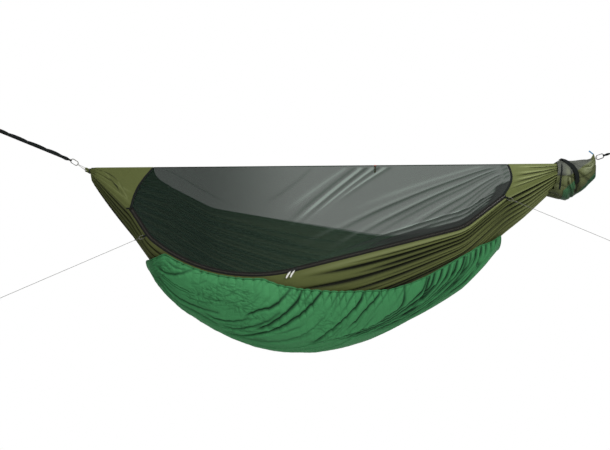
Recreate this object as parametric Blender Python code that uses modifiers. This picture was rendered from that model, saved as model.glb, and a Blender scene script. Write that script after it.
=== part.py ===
"""Gathered-end camping hammock with a ridgeline, a zipped bug net and an underquilt.

Lengths are in metres, Z is up and X runs from the head end to the foot end. The origin is the
head hang point, where the head carabiner hangs in its strap. Everything is laid out from the
middle of the ridgeline, which is an empty that the pieces are parented to.
"""

import math

import bmesh
import bpy
import numpy as np
from mathutils import Matrix, Vector

# Ridgeline and gathers
RIDGE_HALF = 1.385            # half of the ridgeline, gather to gather
RIDGE_CORD = 0.0040           # ridgeline cord diameter
SHEET_END = 0.041             # the bed cloth stops this far short of each gather

# Zip edge of the bed, all in one sloping plane: a straight run and a bend at the head, a long
# arc, a straight run, and a bend and a straight run at the foot. One slider follows the arc about
# its centre and the other the long straight run.
LEAN = math.radians(35)       # slope of that plane from the vertical
EDGE_OUT = 0.096              # how far the plane stands out at ridge height
ARC_RADIUS = 0.850
ARC_CENTRE = (-0.418, -0.218)   # x, and distance down the slope
HEAD_LENGTH = 0.160
HEAD_HEADING = math.radians(-57.0)
ARC_HEADING = math.radians(-40.0)
RUN_HEADING = math.radians(14.5)
RUN_LENGTH = 0.900
BEND_RADIUS = 0.250
FOOT_HEADING = math.radians(37.8)
FOOT_LENGTH = 0.250
ARC_STEP = 0.027
EDGE_END_Z = -0.012           # the cloth's edges at the gathers, below the ridgeline

# Bed cloth
BED_DEPTH = 0.920
BED_END_Z = -0.040
HEAD_SAG_POWER = 0.86         # lower is fuller near the gather
FOOT_SAG_POWER = 1.00
CLOTH = 0.0010
PLEATS = 7
PLEAT_HEIGHT = 0.0045

# Zip
TAPE_INNER = 0.0008           # half of the slit that the slider's neck runs in
TAPE_OUTER = 0.0125
TAPE_THICK = 0.0008
COIL_WIDTH = 0.0026
COIL_HEIGHT = 0.0018
SEAM_GAP = 0.0016             # net edge to tape edge
BED_BEHIND = 0.0020           # the bed cloth's edge lies this far behind the tape

# Underquilt
QUILT_HALF = 1.000
QUILT_THICK = 0.016
QUILT_GAP = 0.019             # middle of the quilt's thickness to the bed cloth, at the hem
QUILT_BELLY = 0.088           # and this much more in the middle
HEM_CLEAR = 0.0030
QUILT_ALONG = 26
QUILT_ACROSS = 14
HEM_CORD = 0.005

# Gathers and suspension
GATHER_OUT = 0.006            # the loop's bore, outward from the gather
GATHER_DOWN = 0.0115
BORE = 0.0046
LOOP_CORD = 0.0034
HEAD_REACH = 0.1060           # bore to the far rod of the carabiner, along the pull
HEAD_PULL = math.radians(33.7)
FOOT_REACH = 0.1780
FOOT_PULL = math.radians(19.6)
LINK_LENGTH = 0.046           # carabiner, rod middle to rod middle
LINK_WIDTH = 0.025
ROD = 0.0050
GATE_ROD = 0.0042
GATE_PIVOT = -0.0088          # along the carabiner from its middle
GATE_NOSE = 0.0104

# Webbing
WEB_WIDTH = 0.020
WEB_THICK = 0.0020
WEB_NECK = 0.0090             # width where it is bunched in the carabiner
WEB_AIR = 0.0004              # half of the air between two layers
HEAD_STRAP_RISE = math.radians(23.2)
FOOT_STRAP_RISE = math.radians(16.0)
HEAD_STRAP_EYE = 0.462        # from the rod to the start of the end eye
FOOT_STRAP_EYE = 0.100
EYE_RADIUS = 0.012
TACKS = (0.068, 0.148, 0.263, 0.378, 0.450)   # where the daisy chain is sewn down
TACK_RISE = 0.0045

# Side tie-outs: where each stands on the zip's course, and where its guy line ends
TAB_WIDTH = 0.010
TAB_THICK = 0.0012
TAB_LENGTH = 0.020
RING_WIRE = 0.0032
RING_LENGTH = 0.028
RING_WIDTH = 0.017
GUY_CORD = 0.0022
KNOT = 0.0078
HEAD_GUY_END = (-1.6935, -0.800, -0.5549)
FOOT_GUY_END = (1.4839, -0.500, -0.3574)
HEAD_TIE_X = -1.000
FOOT_TIE_X = 0.950

# Zip sliders and their pulls
SLIDER_LENGTH = 0.014
SLIDER_HALF = 0.0050
SLIDER_GAP = 0.0075
BAIL_OUT = 0.0100             # middle of the bail above the tape's plane
BAIL_ROD = 0.0015
PULL_LENGTH = 0.064
PULL_ANGLE = math.radians(50)   # below the horizontal, in the sloping plane
PULL_LIFT = math.radians(10)    # off the sloping plane, over the quilt's hem

TOUCH = 0.0003                # air between pieces that touch

# Middle of the ridgeline from the head hang point, where the strap bears on the carabiner's crown
CROWN = LINK_WIDTH / 2
MIDDLE_X = (RIDGE_HALF + GATHER_OUT + (HEAD_REACH - CROWN) * math.cos(HEAD_PULL)
            + CROWN * math.cos(HEAD_STRAP_RISE))
RIDGE_DROP = ((HEAD_REACH - CROWN) * math.sin(HEAD_PULL) + CROWN * math.sin(HEAD_STRAP_RISE)
              - GATHER_DOWN)

PARTS = "hammock"


def clear_scene():
    for old in list(bpy.data.objects):
        bpy.data.objects.remove(old, do_unlink=True)


def collection(name):
    made = bpy.data.collections.new(name)
    bpy.context.scene.collection.children.link(made)
    return made


def finish(name, colour, roughness, metallic=0.0):
    made = bpy.data.materials.new(name)
    made.use_nodes = True
    shader = made.node_tree.nodes["Principled BSDF"]
    shader.inputs["Base Color"].default_value = (*colour, 1.0)
    shader.inputs["Roughness"].default_value = roughness
    shader.inputs["Metallic"].default_value = metallic
    return made


def add_piece(name, data, material, parent=None):
    """Link a mesh or curve as one named piece, under the middle of the ridgeline."""
    piece = bpy.data.objects.new(name, data)
    parts.objects.link(piece)
    data.materials.append(material)
    piece.parent = parent or middle
    return piece


def pivot(name, place, turn=None, parent=None):
    """An empty on a joint's axis, which the pieces that move together are parented to."""
    empty = bpy.data.objects.new(name, None)
    parts.objects.link(empty)
    empty.parent = parent or middle
    empty.matrix_local = Matrix.Translation(place) @ (turn or Matrix.Identity(4))
    return empty


def axes(along, normal):
    """A rotation whose X runs along `along` and whose Z is as near `normal` as it can be."""
    x = along.normalized()
    y = normal.cross(x).normalized()
    z = x.cross(y)
    return Matrix((x, y, z)).transposed().to_4x4()


# Shapes that every piece is made with

def sheet(name, surface, along, across, thickness, material, weights=None):
    """A thin closed sheet: a grid laid on surface(u, v), with Solidify."""
    cells = bmesh.new()
    bmesh.ops.create_grid(cells, x_segments=along, y_segments=across, size=0.5)
    levels = []
    for corner in cells.verts:
        u = corner.co.x + 0.5
        v = corner.co.y + 0.5
        corner.co = surface(u, v)
        levels.append(weights(u, v) if weights else 1.0)
    mesh = bpy.data.meshes.new(name)
    cells.to_mesh(mesh)
    cells.free()
    mesh.shade_smooth()
    piece = add_piece(name, mesh, material)
    shell = piece.modifiers.new("thickness", "SOLIDIFY")
    shell.thickness = thickness
    shell.offset = 0.0
    if weights:
        group = piece.vertex_groups.new(name="loft")
        for index, level in enumerate(levels):
            group.add([index], level, "REPLACE")
        shell.vertex_group = "loft"
    return piece


def loft(name, rings, material, parent=None, caps=True):
    """A skin over rings of points, closed at both ends unless it is left open."""
    skin = bmesh.new()
    rows = [[skin.verts.new(point) for point in ring] for ring in rings]
    for low, high in zip(rows, rows[1:]):
        for i in range(len(low)):
            j = (i + 1) % len(low)
            skin.faces.new((low[i], low[j], high[j], high[i]))
    if caps:
        skin.faces.new(rows[0])
        skin.faces.new(rows[-1])
    bmesh.ops.recalc_face_normals(skin, faces=skin.faces)
    mesh = bpy.data.meshes.new(name)
    skin.to_mesh(mesh)
    skin.free()
    return add_piece(name, mesh, material, parent)


def sweep(name, profile, course, material, parent=None):
    """A profile carried along a course of (point, across, out) frames."""
    rings = []
    for point, across, out in course:
        rings.append([point + across * a + out * b for a, b in profile])
    return loft(name, rings, material, parent)


def tube(name, points, diameter, material, closed=False, sides=1, parent=None):
    """A round cord or rod: a poly curve with a bevel and filled caps."""
    curve = bpy.data.curves.new(name, "CURVE")
    curve.dimensions = "3D"
    curve.bevel_depth = diameter / 2
    curve.bevel_resolution = sides
    curve.use_fill_caps = True
    line = curve.splines.new("POLY")
    line.points.add(len(points) - 1)
    for knot, point in zip(line.points, points):
        knot.co = (*point, 1.0)
    line.use_cyclic_u = closed
    return add_piece(name, curve, material, parent)


def baked(piece):
    """The same piece as a plain mesh, with its bevel and modifiers applied and its caps welded."""
    bpy.context.view_layer.update()
    ready = bpy.data.meshes.new_from_object(
        piece.evaluated_get(bpy.context.evaluated_depsgraph_get()))
    if piece.type == "CURVE":
        welded = bmesh.new()
        welded.from_mesh(ready)
        bmesh.ops.remove_doubles(welded, verts=welded.verts, dist=1e-6)
        welded.to_mesh(ready)
        welded.free()
    name = piece.name
    parent = piece.parent
    bpy.data.objects.remove(piece, do_unlink=True)
    made = bpy.data.objects.new(name, ready)
    parts.objects.link(made)
    made.parent = parent
    return made


def union(base, extra):
    """Fuse another solid into a piece with an exact Boolean, and drop the other."""
    base = baked(base)
    extra = baked(extra)
    joiner = base.modifiers.new("join", "BOOLEAN")
    joiner.operation = "UNION"
    joiner.object = extra
    base = baked(base)
    bpy.data.objects.remove(extra, do_unlink=True)
    return base


# The bed's form

def slope_point(x, drop):
    """A point in the sloping plane of the near edge."""
    return Vector((x, -EDGE_OUT - drop * math.sin(LEAN), -drop * math.cos(LEAN)))


def edge_course():
    """The zip's middle line as (x, drop, heading), from the head corner to the foot corner."""

    def on_arc(centre, radius, heading):
        return (centre[0] + radius * math.sin(heading), centre[1] + radius * math.cos(heading))

    def turn(centre, radius, start, end):
        steps = max(2, round(abs(end - start) * radius / ARC_STEP))
        headings = [start + (end - start) * i / steps for i in range(steps + 1)]
        return [(*on_arc(centre, radius, heading), heading) for heading in headings]

    def step(place, heading, length):
        return (place[0] + length * math.cos(heading), place[1] - length * math.sin(heading))

    def bend_centre(place, heading):
        return (place[0] - BEND_RADIUS * math.sin(heading), place[1] - BEND_RADIUS * math.cos(heading))

    head_bend = bend_centre(on_arc(ARC_CENTRE, ARC_RADIUS, ARC_HEADING), ARC_HEADING)
    corner = step(on_arc(head_bend, BEND_RADIUS, HEAD_HEADING), HEAD_HEADING, -HEAD_LENGTH)
    run_end = step(on_arc(ARC_CENTRE, ARC_RADIUS, RUN_HEADING), RUN_HEADING, RUN_LENGTH)
    foot_bend = bend_centre(run_end, RUN_HEADING)
    foot_corner = step(on_arc(foot_bend, BEND_RADIUS, FOOT_HEADING), FOOT_HEADING, FOOT_LENGTH)
    return ([(*corner, HEAD_HEADING)] + turn(head_bend, BEND_RADIUS, HEAD_HEADING, ARC_HEADING)
            + turn(ARC_CENTRE, ARC_RADIUS, ARC_HEADING, RUN_HEADING)[1:]
            + turn(foot_bend, BEND_RADIUS, RUN_HEADING, FOOT_HEADING)
            + [(*foot_corner, FOOT_HEADING)])


def edge_table(offset, behind=0.0):
    """The near edge moved down the slope and behind it, with its ends run out to the gathers."""
    back = Vector((0, math.cos(LEAN), -math.sin(LEAN))) * behind
    points = [slope_point(x + offset * math.sin(h), drop + offset * math.cos(h)) + back
              for x, drop, h in COURSE]
    ends = [Vector((-RIDGE_HALF, 0.0, EDGE_END_Z)), Vector((RIDGE_HALF, 0.0, EDGE_END_Z))]
    return np.array([ends[0]] + points + [ends[1]])


def near_edge(x, table):
    return Vector((x, np.interp(x, table[:, 0], table[:, 1]), np.interp(x, table[:, 0], table[:, 2])))


def far_edge(x, table):
    """The bed lies on a diagonal, so the far edge is the near edge turned half round."""
    twin = near_edge(-x, table)
    return Vector((x, -twin.y, twin.z))


def bed_bottom(x):
    reach = max(0.0, RIDGE_HALF - abs(x)) / RIDGE_HALF
    power = HEAD_SAG_POWER if x < 0 else FOOT_SAG_POWER
    return BED_END_Z - BED_DEPTH * math.sin(math.pi / 2 * reach ** power)


def bed_point(x, v):
    """The bed cloth without its pleats: v runs from the near edge to the far edge."""
    near = near_edge(x, BED_EDGE)
    far = far_edge(x, BED_EDGE)
    share = (1 - math.cos(math.pi * v)) / 2
    depth = (near.z + far.z) / 2 - bed_bottom(x)
    point = near.lerp(far, share)
    point.z -= depth * math.sin(math.pi * v)
    return point


def bed_normal(x, v):
    """Outward normal of the bed cloth."""
    step = 0.002
    v = min(max(v, step), 1 - step)
    along = bed_point(x + step, v) - bed_point(x - step, v)
    across = bed_point(x, v + step) - bed_point(x, v - step)
    return across.cross(along).normalized()


def bed_surface(u, v):
    """The bed cloth with its long pleats, which run from gather to gather."""
    half = RIDGE_HALF - SHEET_END
    x = -half * math.cos(math.pi * u)
    x = 0.65 * x + 0.35 * half * (2 * u - 1)
    fade = math.sin(math.pi * v) ** 0.4 if 0 < v < 1 else 0.0
    height = PLEAT_HEIGHT * fade * math.sin(2 * math.pi * PLEATS * v + 1.3 * u)
    return bed_point(x, v) + bed_normal(x, v) * height


def twin(point):
    """The same place on the other side and the other end."""
    return Vector((-point.x, -point.y, point.z))


# Where the net stops and the end panels begin: x on the ridgeline, and how far that edge bows
NET_RIDGE_X = 1.010
NET_BOW = 0.022
NET_TOP = 0.0045              # the net's top edge beside the ridgeline cord
NET_SAG = 0.022
SPLIT = 0.0035                # half of the gap that the binding covers


def wall_point(x_top, x_edge, w, table, bow):
    """A point of the sloping wall between the ridgeline and the near edge."""
    top = Vector((x_top, -NET_TOP * 0.8, -NET_TOP * 0.8))
    low = near_edge(x_edge, table)
    point = top.lerp(low, w)
    point.x += bow * math.sin(math.pi * w)
    return point


def net_surface(u, w):
    """Near net wall, from the head binding to the foot binding."""
    head_x = COURSE[0][0] + SPLIT
    foot_x = COURSE[-1][0] - SPLIT
    x_top = -NET_RIDGE_X + SPLIT + (2 * NET_RIDGE_X - 2 * SPLIT) * u
    x_edge = head_x + (foot_x - head_x) * u
    bow = -NET_BOW * (1 - u) + 0.5 * NET_BOW * u
    point = wall_point(x_top, x_edge, w, NET_EDGE, bow)
    point += Vector((0, 1, -0.6)) * NET_SAG * math.sin(math.pi * u) * math.sin(math.pi * w)
    return point


def head_panel_surface(u, w):
    """Near head end panel, from the gather to the net."""
    start = -RIDGE_HALF + SHEET_END
    x_top = start + (RIDGE_HALF - SHEET_END - NET_RIDGE_X - SPLIT) * u
    x_edge = start + (COURSE[0][0] - SPLIT - start) * u
    return wall_point(x_top, x_edge, w, NET_EDGE, -NET_BOW * u)


def foot_panel_surface(u, w):
    """Near foot end panel, from the net to the gather."""
    end = RIDGE_HALF - SHEET_END
    x_top = NET_RIDGE_X + SPLIT + (end - NET_RIDGE_X - SPLIT) * u
    x_edge = COURSE[-1][0] + SPLIT + (end - COURSE[-1][0] - SPLIT) * u
    return wall_point(x_top, x_edge, w, NET_EDGE, 0.5 * NET_BOW * (1 - u))


def binding_course(surface, u):
    """Frames down the edge between a panel and the net, for the binding ribbon."""
    course = []
    for i in range(9):
        w = 0.02 + 0.95 * i / 8
        here = surface(u, w)
        along = (surface(u, w + 0.02) - surface(u, w - 0.02)).normalized()
        inward = (surface(abs(u - 0.04), w) - here).normalized()
        out = along.cross(inward)
        out = out if out.y < 0 else -out
        course.append((here, along.cross(out).normalized(), out.normalized()))
    return course


def make_bed(olive, net, binding):
    sheet("bed_cloth", bed_surface, 20, 28, CLOTH, olive)
    for side, turn in (("near", lambda p: p), ("far", twin)):
        sheet(f"net_{side}", lambda u, w: turn(net_surface(u, w)), 18, 5, CLOTH, net)
        ends = (("head", "foot") if side == "near" else ("foot", "head"))
        sheet(f"{ends[0]}_panel_{side}", lambda u, w: turn(head_panel_surface(u, w)),
              4, 5, CLOTH, olive)
        sheet(f"{ends[1]}_panel_{side}", lambda u, w: turn(foot_panel_surface(u, w)),
              4, 5, CLOTH, olive)
        ribbon = [(-0.006, 0.0), (0.006, 0.0), (0.006, 0.0009), (-0.006, 0.0009)]
        for end, surface, u in ((ends[0], head_panel_surface, 1.0), (ends[1], foot_panel_surface, 0.0)):
            course = []
            for point, across, out in binding_course(surface, u):
                lifted = point + out * (CLOTH / 2 + 0.0011)
                course.append((turn(lifted), flat_turn(across, side), flat_turn(out, side)))
            sweep(f"{end}_binding_{side}", ribbon, course, binding)


def flat_turn(direction, side):
    return direction if side == "near" else Vector((-direction.x, -direction.y, direction.z))


def make_edges(tape, coil_side):
    """Both halves of the zip, each a tape with its coil, and the plain seam of the far edge."""
    out = Vector((0, -math.cos(LEAN), math.sin(LEAN)))
    half = TAPE_THICK / 2
    zip_profile = [(TAPE_INNER, -half), (TAPE_OUTER, -half), (TAPE_OUTER, half),
                   (TAPE_INNER + COIL_WIDTH, half), (TAPE_INNER + COIL_WIDTH, half + COIL_HEIGHT),
                   (TAPE_INNER, half + COIL_HEIGHT)]
    frames = []
    for x, drop, heading in COURSE:
        here = slope_point(x, drop)
        down = slope_point(x + math.sin(heading), drop + math.cos(heading)) - here
        frames.append((here, down, out))
    sweep("zip_lower_tape", zip_profile, frames, tape)
    sweep("zip_upper_tape", [(-a, b) for a, b in zip_profile], frames, coil_side)
    seam_profile = [(-TAPE_OUTER, -half), (TAPE_OUTER, -half), (TAPE_OUTER, half), (-TAPE_OUTER, half)]
    far_frames = [(twin(p), flat_turn(a, "far"), flat_turn(b, "far")) for p, a, b in frames]
    sweep("far_edge_tape", seam_profile, far_frames[::2] + far_frames[-1:], tape)
    ends = RIDGE_HALF - 0.020
    tube("ridgeline", [Vector((x, 0, 0)) for x in np.linspace(-ends, ends, 9)], RIDGE_CORD, coil_side)


# Underquilt

def hem_height(x):
    """Height of the near hem: it hugs the zip at the head and hangs lower at the foot."""
    places = (-1.00, -0.90, -0.76, -0.50, -0.36, -0.27, -0.17, 0.05, 0.33, 0.50, 0.66, 0.80, 1.00)
    heights = (-0.47, -0.435, -0.485, -0.545, -0.545, -0.580, -0.600, -0.628, -0.630, -0.578,
               -0.478, -0.395, -0.370)
    return float(np.interp(x, places, heights))


def hem_share(x):
    """Share of the bed's section at which the near hem lies, found by halving."""
    low = 0.015
    high = 0.45
    for _ in range(24):
        v = (low + high) / 2
        if bed_point(x, v).z > hem_height(x):
            low = v
        else:
            high = v
    return low


def quilt_place(u, w):
    x = QUILT_HALF * (2 * u - 1)
    v_near = hem_share(x)
    v_far = 1 - hem_share(-x)
    return x, v_near + (v_far - v_near) * w


def quilt_fullness(u):
    """How far the quilt bellies out along its length: fullest over the head half."""
    places = (0.0, 0.02, 0.10, 0.24, 0.37, 0.45, 0.565, 0.71, 0.86, 0.95, 1.0)
    shares = (0.30, 0.50, 0.80, 0.98, 1.08, 1.08, 0.88, 0.64, 0.70, 0.46, 0.20)
    return float(np.interp(u, places, shares))


def quilt_surface(u, w):
    """The quilt hangs below the bed and bellies out, with long folds and a gathered hem."""
    x, v = quilt_place(u, w)
    belly = quilt_fullness(u) * max(0.0, math.sin(math.pi * w)) ** 0.7
    fold = 0.010 * math.sin(2 * math.pi * (4.5 * w - 1.6 * u)) * belly
    hem = math.exp(-min(w, 1 - w) / 0.10) * max(0.0, math.sin(math.pi * u)) ** 0.5
    gather = 0.0045 * math.sin(2 * math.pi * 7 * u) * hem
    offset = QUILT_GAP + QUILT_BELLY * belly + fold + gather
    return bed_point(x, v) + bed_normal(x, v) * offset


def quilt_loft(u, w):
    rim = min(min(u, 1 - u) / 0.10, min(w, 1 - w) / 0.12, 1.0)
    return 0.35 + 0.65 * math.sin(rim * math.pi / 2)


def hem_route():
    """Where the hem's shock cord runs: once round the quilt, just past its edge."""
    along = [i / QUILT_ALONG for i in range(QUILT_ALONG + 1)]
    across = [i / QUILT_ACROSS for i in range(1, QUILT_ACROSS)]
    stations = [(u, 0.0) for u in along] + [(1.0, w) for w in across]
    stations += [(u, 1.0) for u in reversed(along)] + [(0.0, w) for w in reversed(across)]
    edge = [quilt_surface(u, w) for u, w in stations]
    route = []
    for i, (u, w) in enumerate(stations):
        tangent = edge[(i + 1) % len(edge)] - edge[i - 1]
        normal = bed_normal(*quilt_place(u, w))
        outward = tangent.cross(normal).normalized()
        inner = quilt_surface(0.5 + 0.9 * (u - 0.5), 0.5 + 0.9 * (w - 0.5))
        if outward.dot(edge[i] - inner) < 0:
            outward.negate()
        route.append(edge[i] + outward * (HEM_CORD / 2 + HEM_CLEAR))
    return route


def make_quilt(green, elastic):
    sheet("underquilt", quilt_surface, QUILT_ALONG, QUILT_ACROSS, QUILT_THICK, green, quilt_loft)
    tube("quilt_hem_cord", hem_route(), HEM_CORD, elastic, closed=True)


# Gathers, suspension loops, carabiners and straps

def ellipse_ring(centre, half_y, half_z, flute, count=24):
    """One ring across the X axis, with every other point drawn in to make a flute."""
    ring = []
    for i in range(count):
        angle = 2 * math.pi * i / count
        size = 1 - flute * (i % 2)
        ring.append(centre + Vector((0, half_y * math.cos(angle), half_z * math.sin(angle))) * size)
    return ring


def make_gather(end, side, cloth, cord):
    """The bunched cloth at one end: its flutes, its whipped neck and the bored stub."""
    stations = ((0.034, -0.056, 0.030, 0.033, 0.16), (0.024, -0.036, 0.020, 0.022, 0.14),
                (0.0155, -0.0175, 0.0125, 0.0130, 0.0), (0.0045, -0.0175, 0.0125, 0.0130, 0.0),
                (-0.002, -0.0130, 0.0160, 0.0120, 0.10), (-0.014, -0.0090, 0.0165, 0.0125, 0.12))
    rings = [ellipse_ring(Vector((side * (RIDGE_HALF - inward), 0, z)), half_y, half_z, flute)
             for inward, z, half_y, half_z, flute in stations]
    bundle = loft(f"{end}_gather", rings, cloth)
    cutter_mesh = bmesh.new()
    bmesh.ops.create_cone(cutter_mesh, cap_ends=True, segments=12, radius1=BORE / 2,
                          radius2=BORE / 2, depth=0.06)
    drill_data = bpy.data.meshes.new(f"{end}_gather_drill")
    cutter_mesh.to_mesh(drill_data)
    cutter_mesh.free()
    drill = bpy.data.objects.new(f"{end}_gather_drill", drill_data)
    cutters.objects.link(drill)
    drill.parent = middle
    drill.location = (side * (RIDGE_HALF + GATHER_OUT), 0, -GATHER_DOWN)
    drill.rotation_euler = (math.pi / 2, 0, 0)
    drill.hide_render = True
    drill.display_type = "WIRE"
    bore = bundle.modifiers.new("bore", "BOOLEAN")
    bore.operation = "DIFFERENCE"
    bore.object = drill
    neck = Vector((side * (RIDGE_HALF - 0.010), 0, -0.0175))
    turns = [(-0.0042, 0.0133), (-0.0042, 0.0153), (-0.0028, 0.0162), (-0.0014, 0.0153), (0, 0.0162),
             (0.0014, 0.0153), (0.0028, 0.0162), (0.0042, 0.0153), (0.0042, 0.0133)]
    band = [[neck + Vector((along, out * math.cos(t), out * math.sin(t) * 1.03))
             for along, out in turns] for t in np.linspace(0, 2 * math.pi, 17)[:-1]]
    ring_sweep(f"{end}_whipping", band, cord)


def ring_sweep(name, rings, material, parent=None):
    """A loft whose last ring meets its first, for a closed band."""
    skin = bmesh.new()
    rows = [[skin.verts.new(point) for point in ring] for ring in rings]
    for k, low in enumerate(rows):
        high = rows[(k + 1) % len(rows)]
        for i in range(len(low)):
            j = (i + 1) % len(low)
            skin.faces.new((low[i], low[j], high[j], high[i]))
    bmesh.ops.recalc_face_normals(skin, faces=skin.faces)
    mesh = bpy.data.meshes.new(name)
    skin.to_mesh(mesh)
    skin.free()
    return add_piece(name, mesh, material, parent)


def both_sides(half):
    """A closed route from its +Z half: the same points mirrored come back."""
    return half + [Vector((p.x, p.y, -p.z)) for p in reversed(half) if abs(p.z) > 1e-9]


def make_loop(end, frame, rod_x, cord):
    """The continuous loop through the gather's bore and round the carabiner's near rod."""
    wrap = ROD / 2 + LOOP_CORD / 2 + 0.0005
    half = [(0.0000, 0.0090), (0.0000, 0.0175), (0.0012, 0.0208), (0.0045, 0.0228), (0.0095, 0.0230),
            (0.0150, 0.0208), (rod_x - 0.0040, wrap + 0.0006), (rod_x, wrap),
            (rod_x + 0.7 * wrap, 0.7 * wrap), (rod_x + wrap, 0.0)]
    points = [Vector((x, 0, z)) for x, z in half]
    tube(f"{end}_loop", both_sides(points), LOOP_CORD, cord, closed=True, sides=2, parent=frame)


def make_carabiner(end, frame, metal, gate_metal):
    """An open link of bent rod and the sprung gate that closes it, hinged on its ball end."""
    w = LINK_WIDTH / 2
    a = LINK_LENGTH / 2 - w
    course = [(a + w * math.cos(t), w * math.sin(t)) for t in np.radians(np.linspace(86, -90, 9))]
    course += [(-a + w * math.cos(t), w * math.sin(t)) for t in np.radians(np.linspace(-90, -264, 9))]
    tube(f"{end}_carabiner", [Vector((x, y, 0)) for x, y in course], ROD, metal, sides=2, parent=frame)
    hinge = pivot(f"{end}_gate_axis", Vector((GATE_PIVOT, w, 0)), parent=frame)
    r = GATE_ROD / 2
    profile = [(r * -math.cos(t), r * math.sin(t)) for t in np.radians((20, 45, 70, 90))]
    profile += [(0.004, r * 0.8), (GATE_NOSE - GATE_PIVOT - 0.004, r * 0.8),
                (GATE_NOSE - GATE_PIVOT - 0.003, r), (GATE_NOSE - GATE_PIVOT, r)]
    rings = [[Vector((x, radius * math.cos(t), radius * math.sin(t)))
              for t in np.linspace(0, 2 * math.pi, 11)[:-1]] for x, radius in profile]
    loft(f"{end}_gate", rings, gate_metal, hinge)


def ribbon(name, route, thickness, width, twist, material, parent):
    """Flat webbing along a route of (along, off) points; width and twist vary along it."""
    course = []
    for i, (s, q) in enumerate(route):
        before = route[max(i - 1, 0)]
        after = route[min(i + 1, len(route) - 1)]
        run = Vector((after[0] - before[0], after[1] - before[1], 0)).normalized()
        angle = twist(s)
        normal = Vector((0, -math.sin(angle), math.cos(angle)))
        across = Vector((0, math.cos(angle), math.sin(angle)))
        point = Vector((s, 0, 0)) + normal * q
        out = Vector((-run.y, 0, 0)) + normal * run.x
        course.append((point, across * (width(s) / 2), out * (thickness / 2)))
    return sweep(name, [(-1, -1), (1, -1), (1, 1), (-1, 1)], course, material, parent=parent)


def bight(rod, thickness, side=-1, air=0.0004):
    """Points round a rod at the origin, on the side of it that the webbing comes back from."""
    radius = rod / 2 + thickness / 2 + air
    return [(side * radius * math.cos(t), radius * math.sin(t))
            for t in np.radians((-90, -60, -30, 0, 30, 60, 90))]


def make_strap(end, frame, eye_at, twist_end, twist_run, web, daisy):
    """Webbing sewn round the carabiner's far rod at one end, with an eye at the other."""
    layer = WEB_THICK / 2 + WEB_AIR
    seam = (0.016, 0.022, 0.028, 0.034, 0.040)
    route = [(s, -layer) for s in reversed(seam)] + [(0.006, -0.0042)]
    route += bight(ROD, WEB_THICK, air=0.0014) + [(0.006, 0.0042)]
    route += [(s, layer) for s in seam + (0.046, 0.052, 0.060)]
    route += [(s, layer) for s in np.arange(0.10, eye_at - 0.045, 0.09)]
    route += [(eye_at - 0.038, layer), (eye_at - 0.020, layer), (eye_at, layer)]
    centre = eye_at + 0.034
    for t in np.radians(np.linspace(130, -130, 10)):
        route.append((centre + EYE_RADIUS * math.cos(t) * 1.3, EYE_RADIUS * math.sin(t)))
    route += [(eye_at, -layer), (eye_at - 0.020, -layer), (eye_at - 0.038, -layer)]

    def width(s):
        share = min(max((s - 0.008) / 0.026, 0), 1)
        return WEB_NECK + (WEB_WIDTH - WEB_NECK) * share

    def twist(s):
        return twist_end * min(max((s - 0.008) / twist_run, 0), 1)

    ribbon(f"{end}_strap", route, WEB_THICK, width, twist, web, frame)
    if daisy:
        base = layer + WEB_THICK + TOUCH
        loops = [(TACKS[0] - 0.006, base), (TACKS[0], base)]
        for start, stop in zip(TACKS, TACKS[1:]):
            loops += [(start + 0.005, base), (start * 0.7 + stop * 0.3, base + TACK_RISE),
                      (start * 0.3 + stop * 0.7, base + TACK_RISE), (stop - 0.005, base), (stop, base)]
        loops.append((TACKS[-1] + 0.006, base))
        ribbon(f"{end}_strap_loops", loops, WEB_THICK, width, twist, web, frame)


def make_suspension(end, side, pull, reach, strap_rise, eye_at, twist, finishes, daisy):
    cord, metal, gate_metal, web = finishes
    start = Vector((side * (RIDGE_HALF + GATHER_OUT), 0, -GATHER_DOWN))
    along = Vector((side * math.cos(pull), 0, math.sin(pull)))
    toward_viewer = Vector((0, -1, 0))
    line = pivot(f"{end}_pull_line", start, axes(along, toward_viewer))
    make_loop(end, line, reach - LINK_LENGTH, cord)
    link = pivot(f"{end}_link_middle", Vector((reach - LINK_LENGTH / 2, 0, 0)), parent=line)
    make_carabiner(end, link, metal, gate_metal)
    strap_along = Vector((side * math.cos(strap_rise), 0, math.sin(strap_rise)))
    crown = start + along * (reach - CROWN) + strap_along * CROWN
    strap = pivot(f"{end}_strap_line", crown, axes(strap_along, toward_viewer))
    make_strap(end, strap, eye_at, *twist, web, daisy)


# Side tie-outs and small tabs

def folded_tab(name, frame, rod, length, width, thickness, web):
    """Webbing folded round a rod at the frame's origin, both layers lying back along -X."""
    layer = thickness / 2 + 0.00015
    route = [(-length, -layer), (-0.005, -layer)] if rod < 0.004 else [(-length, -layer), (-0.007, -layer)]
    back = [(s, -q) for s, q in reversed(route)]
    route += bight(rod, thickness, side=1) + back
    return ribbon(name, route, thickness, lambda s: width, lambda s: 0.0, web, frame)


def teardrop(start, wrap, length, tail):
    """A closed loop of cord: round a wire at `start`, then drawn together at its other end."""
    half = [(start - wrap, 0.0), (start - 0.7 * wrap, 0.7 * wrap), (start, wrap),
            (start + 0.35 * length, 0.75 * wrap + 0.25 * tail), (start + length - tail, tail),
            (start + length, 0.0)]
    points = [Vector((x, 0, z)) for x, z in half]
    return points + [Vector((p.x, 0, -p.z)) for p in reversed(points[1:-1])]


def knot(name, centre, material, parent):
    """A barrel-shaped stopper knot."""
    rings = []
    for x, size in ((-0.5, 0.45), (-0.36, 0.85), (0.0, 1.0), (0.36, 0.85), (0.5, 0.45)):
        rings.append([centre + Vector((x * KNOT * 1.3, size * KNOT / 2 * math.cos(t),
                                       size * KNOT / 2 * math.sin(t)))
                      for t in np.linspace(0, 2 * math.pi, 11)[:-1]])
    return loft(name, rings, material, parent)


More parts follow.
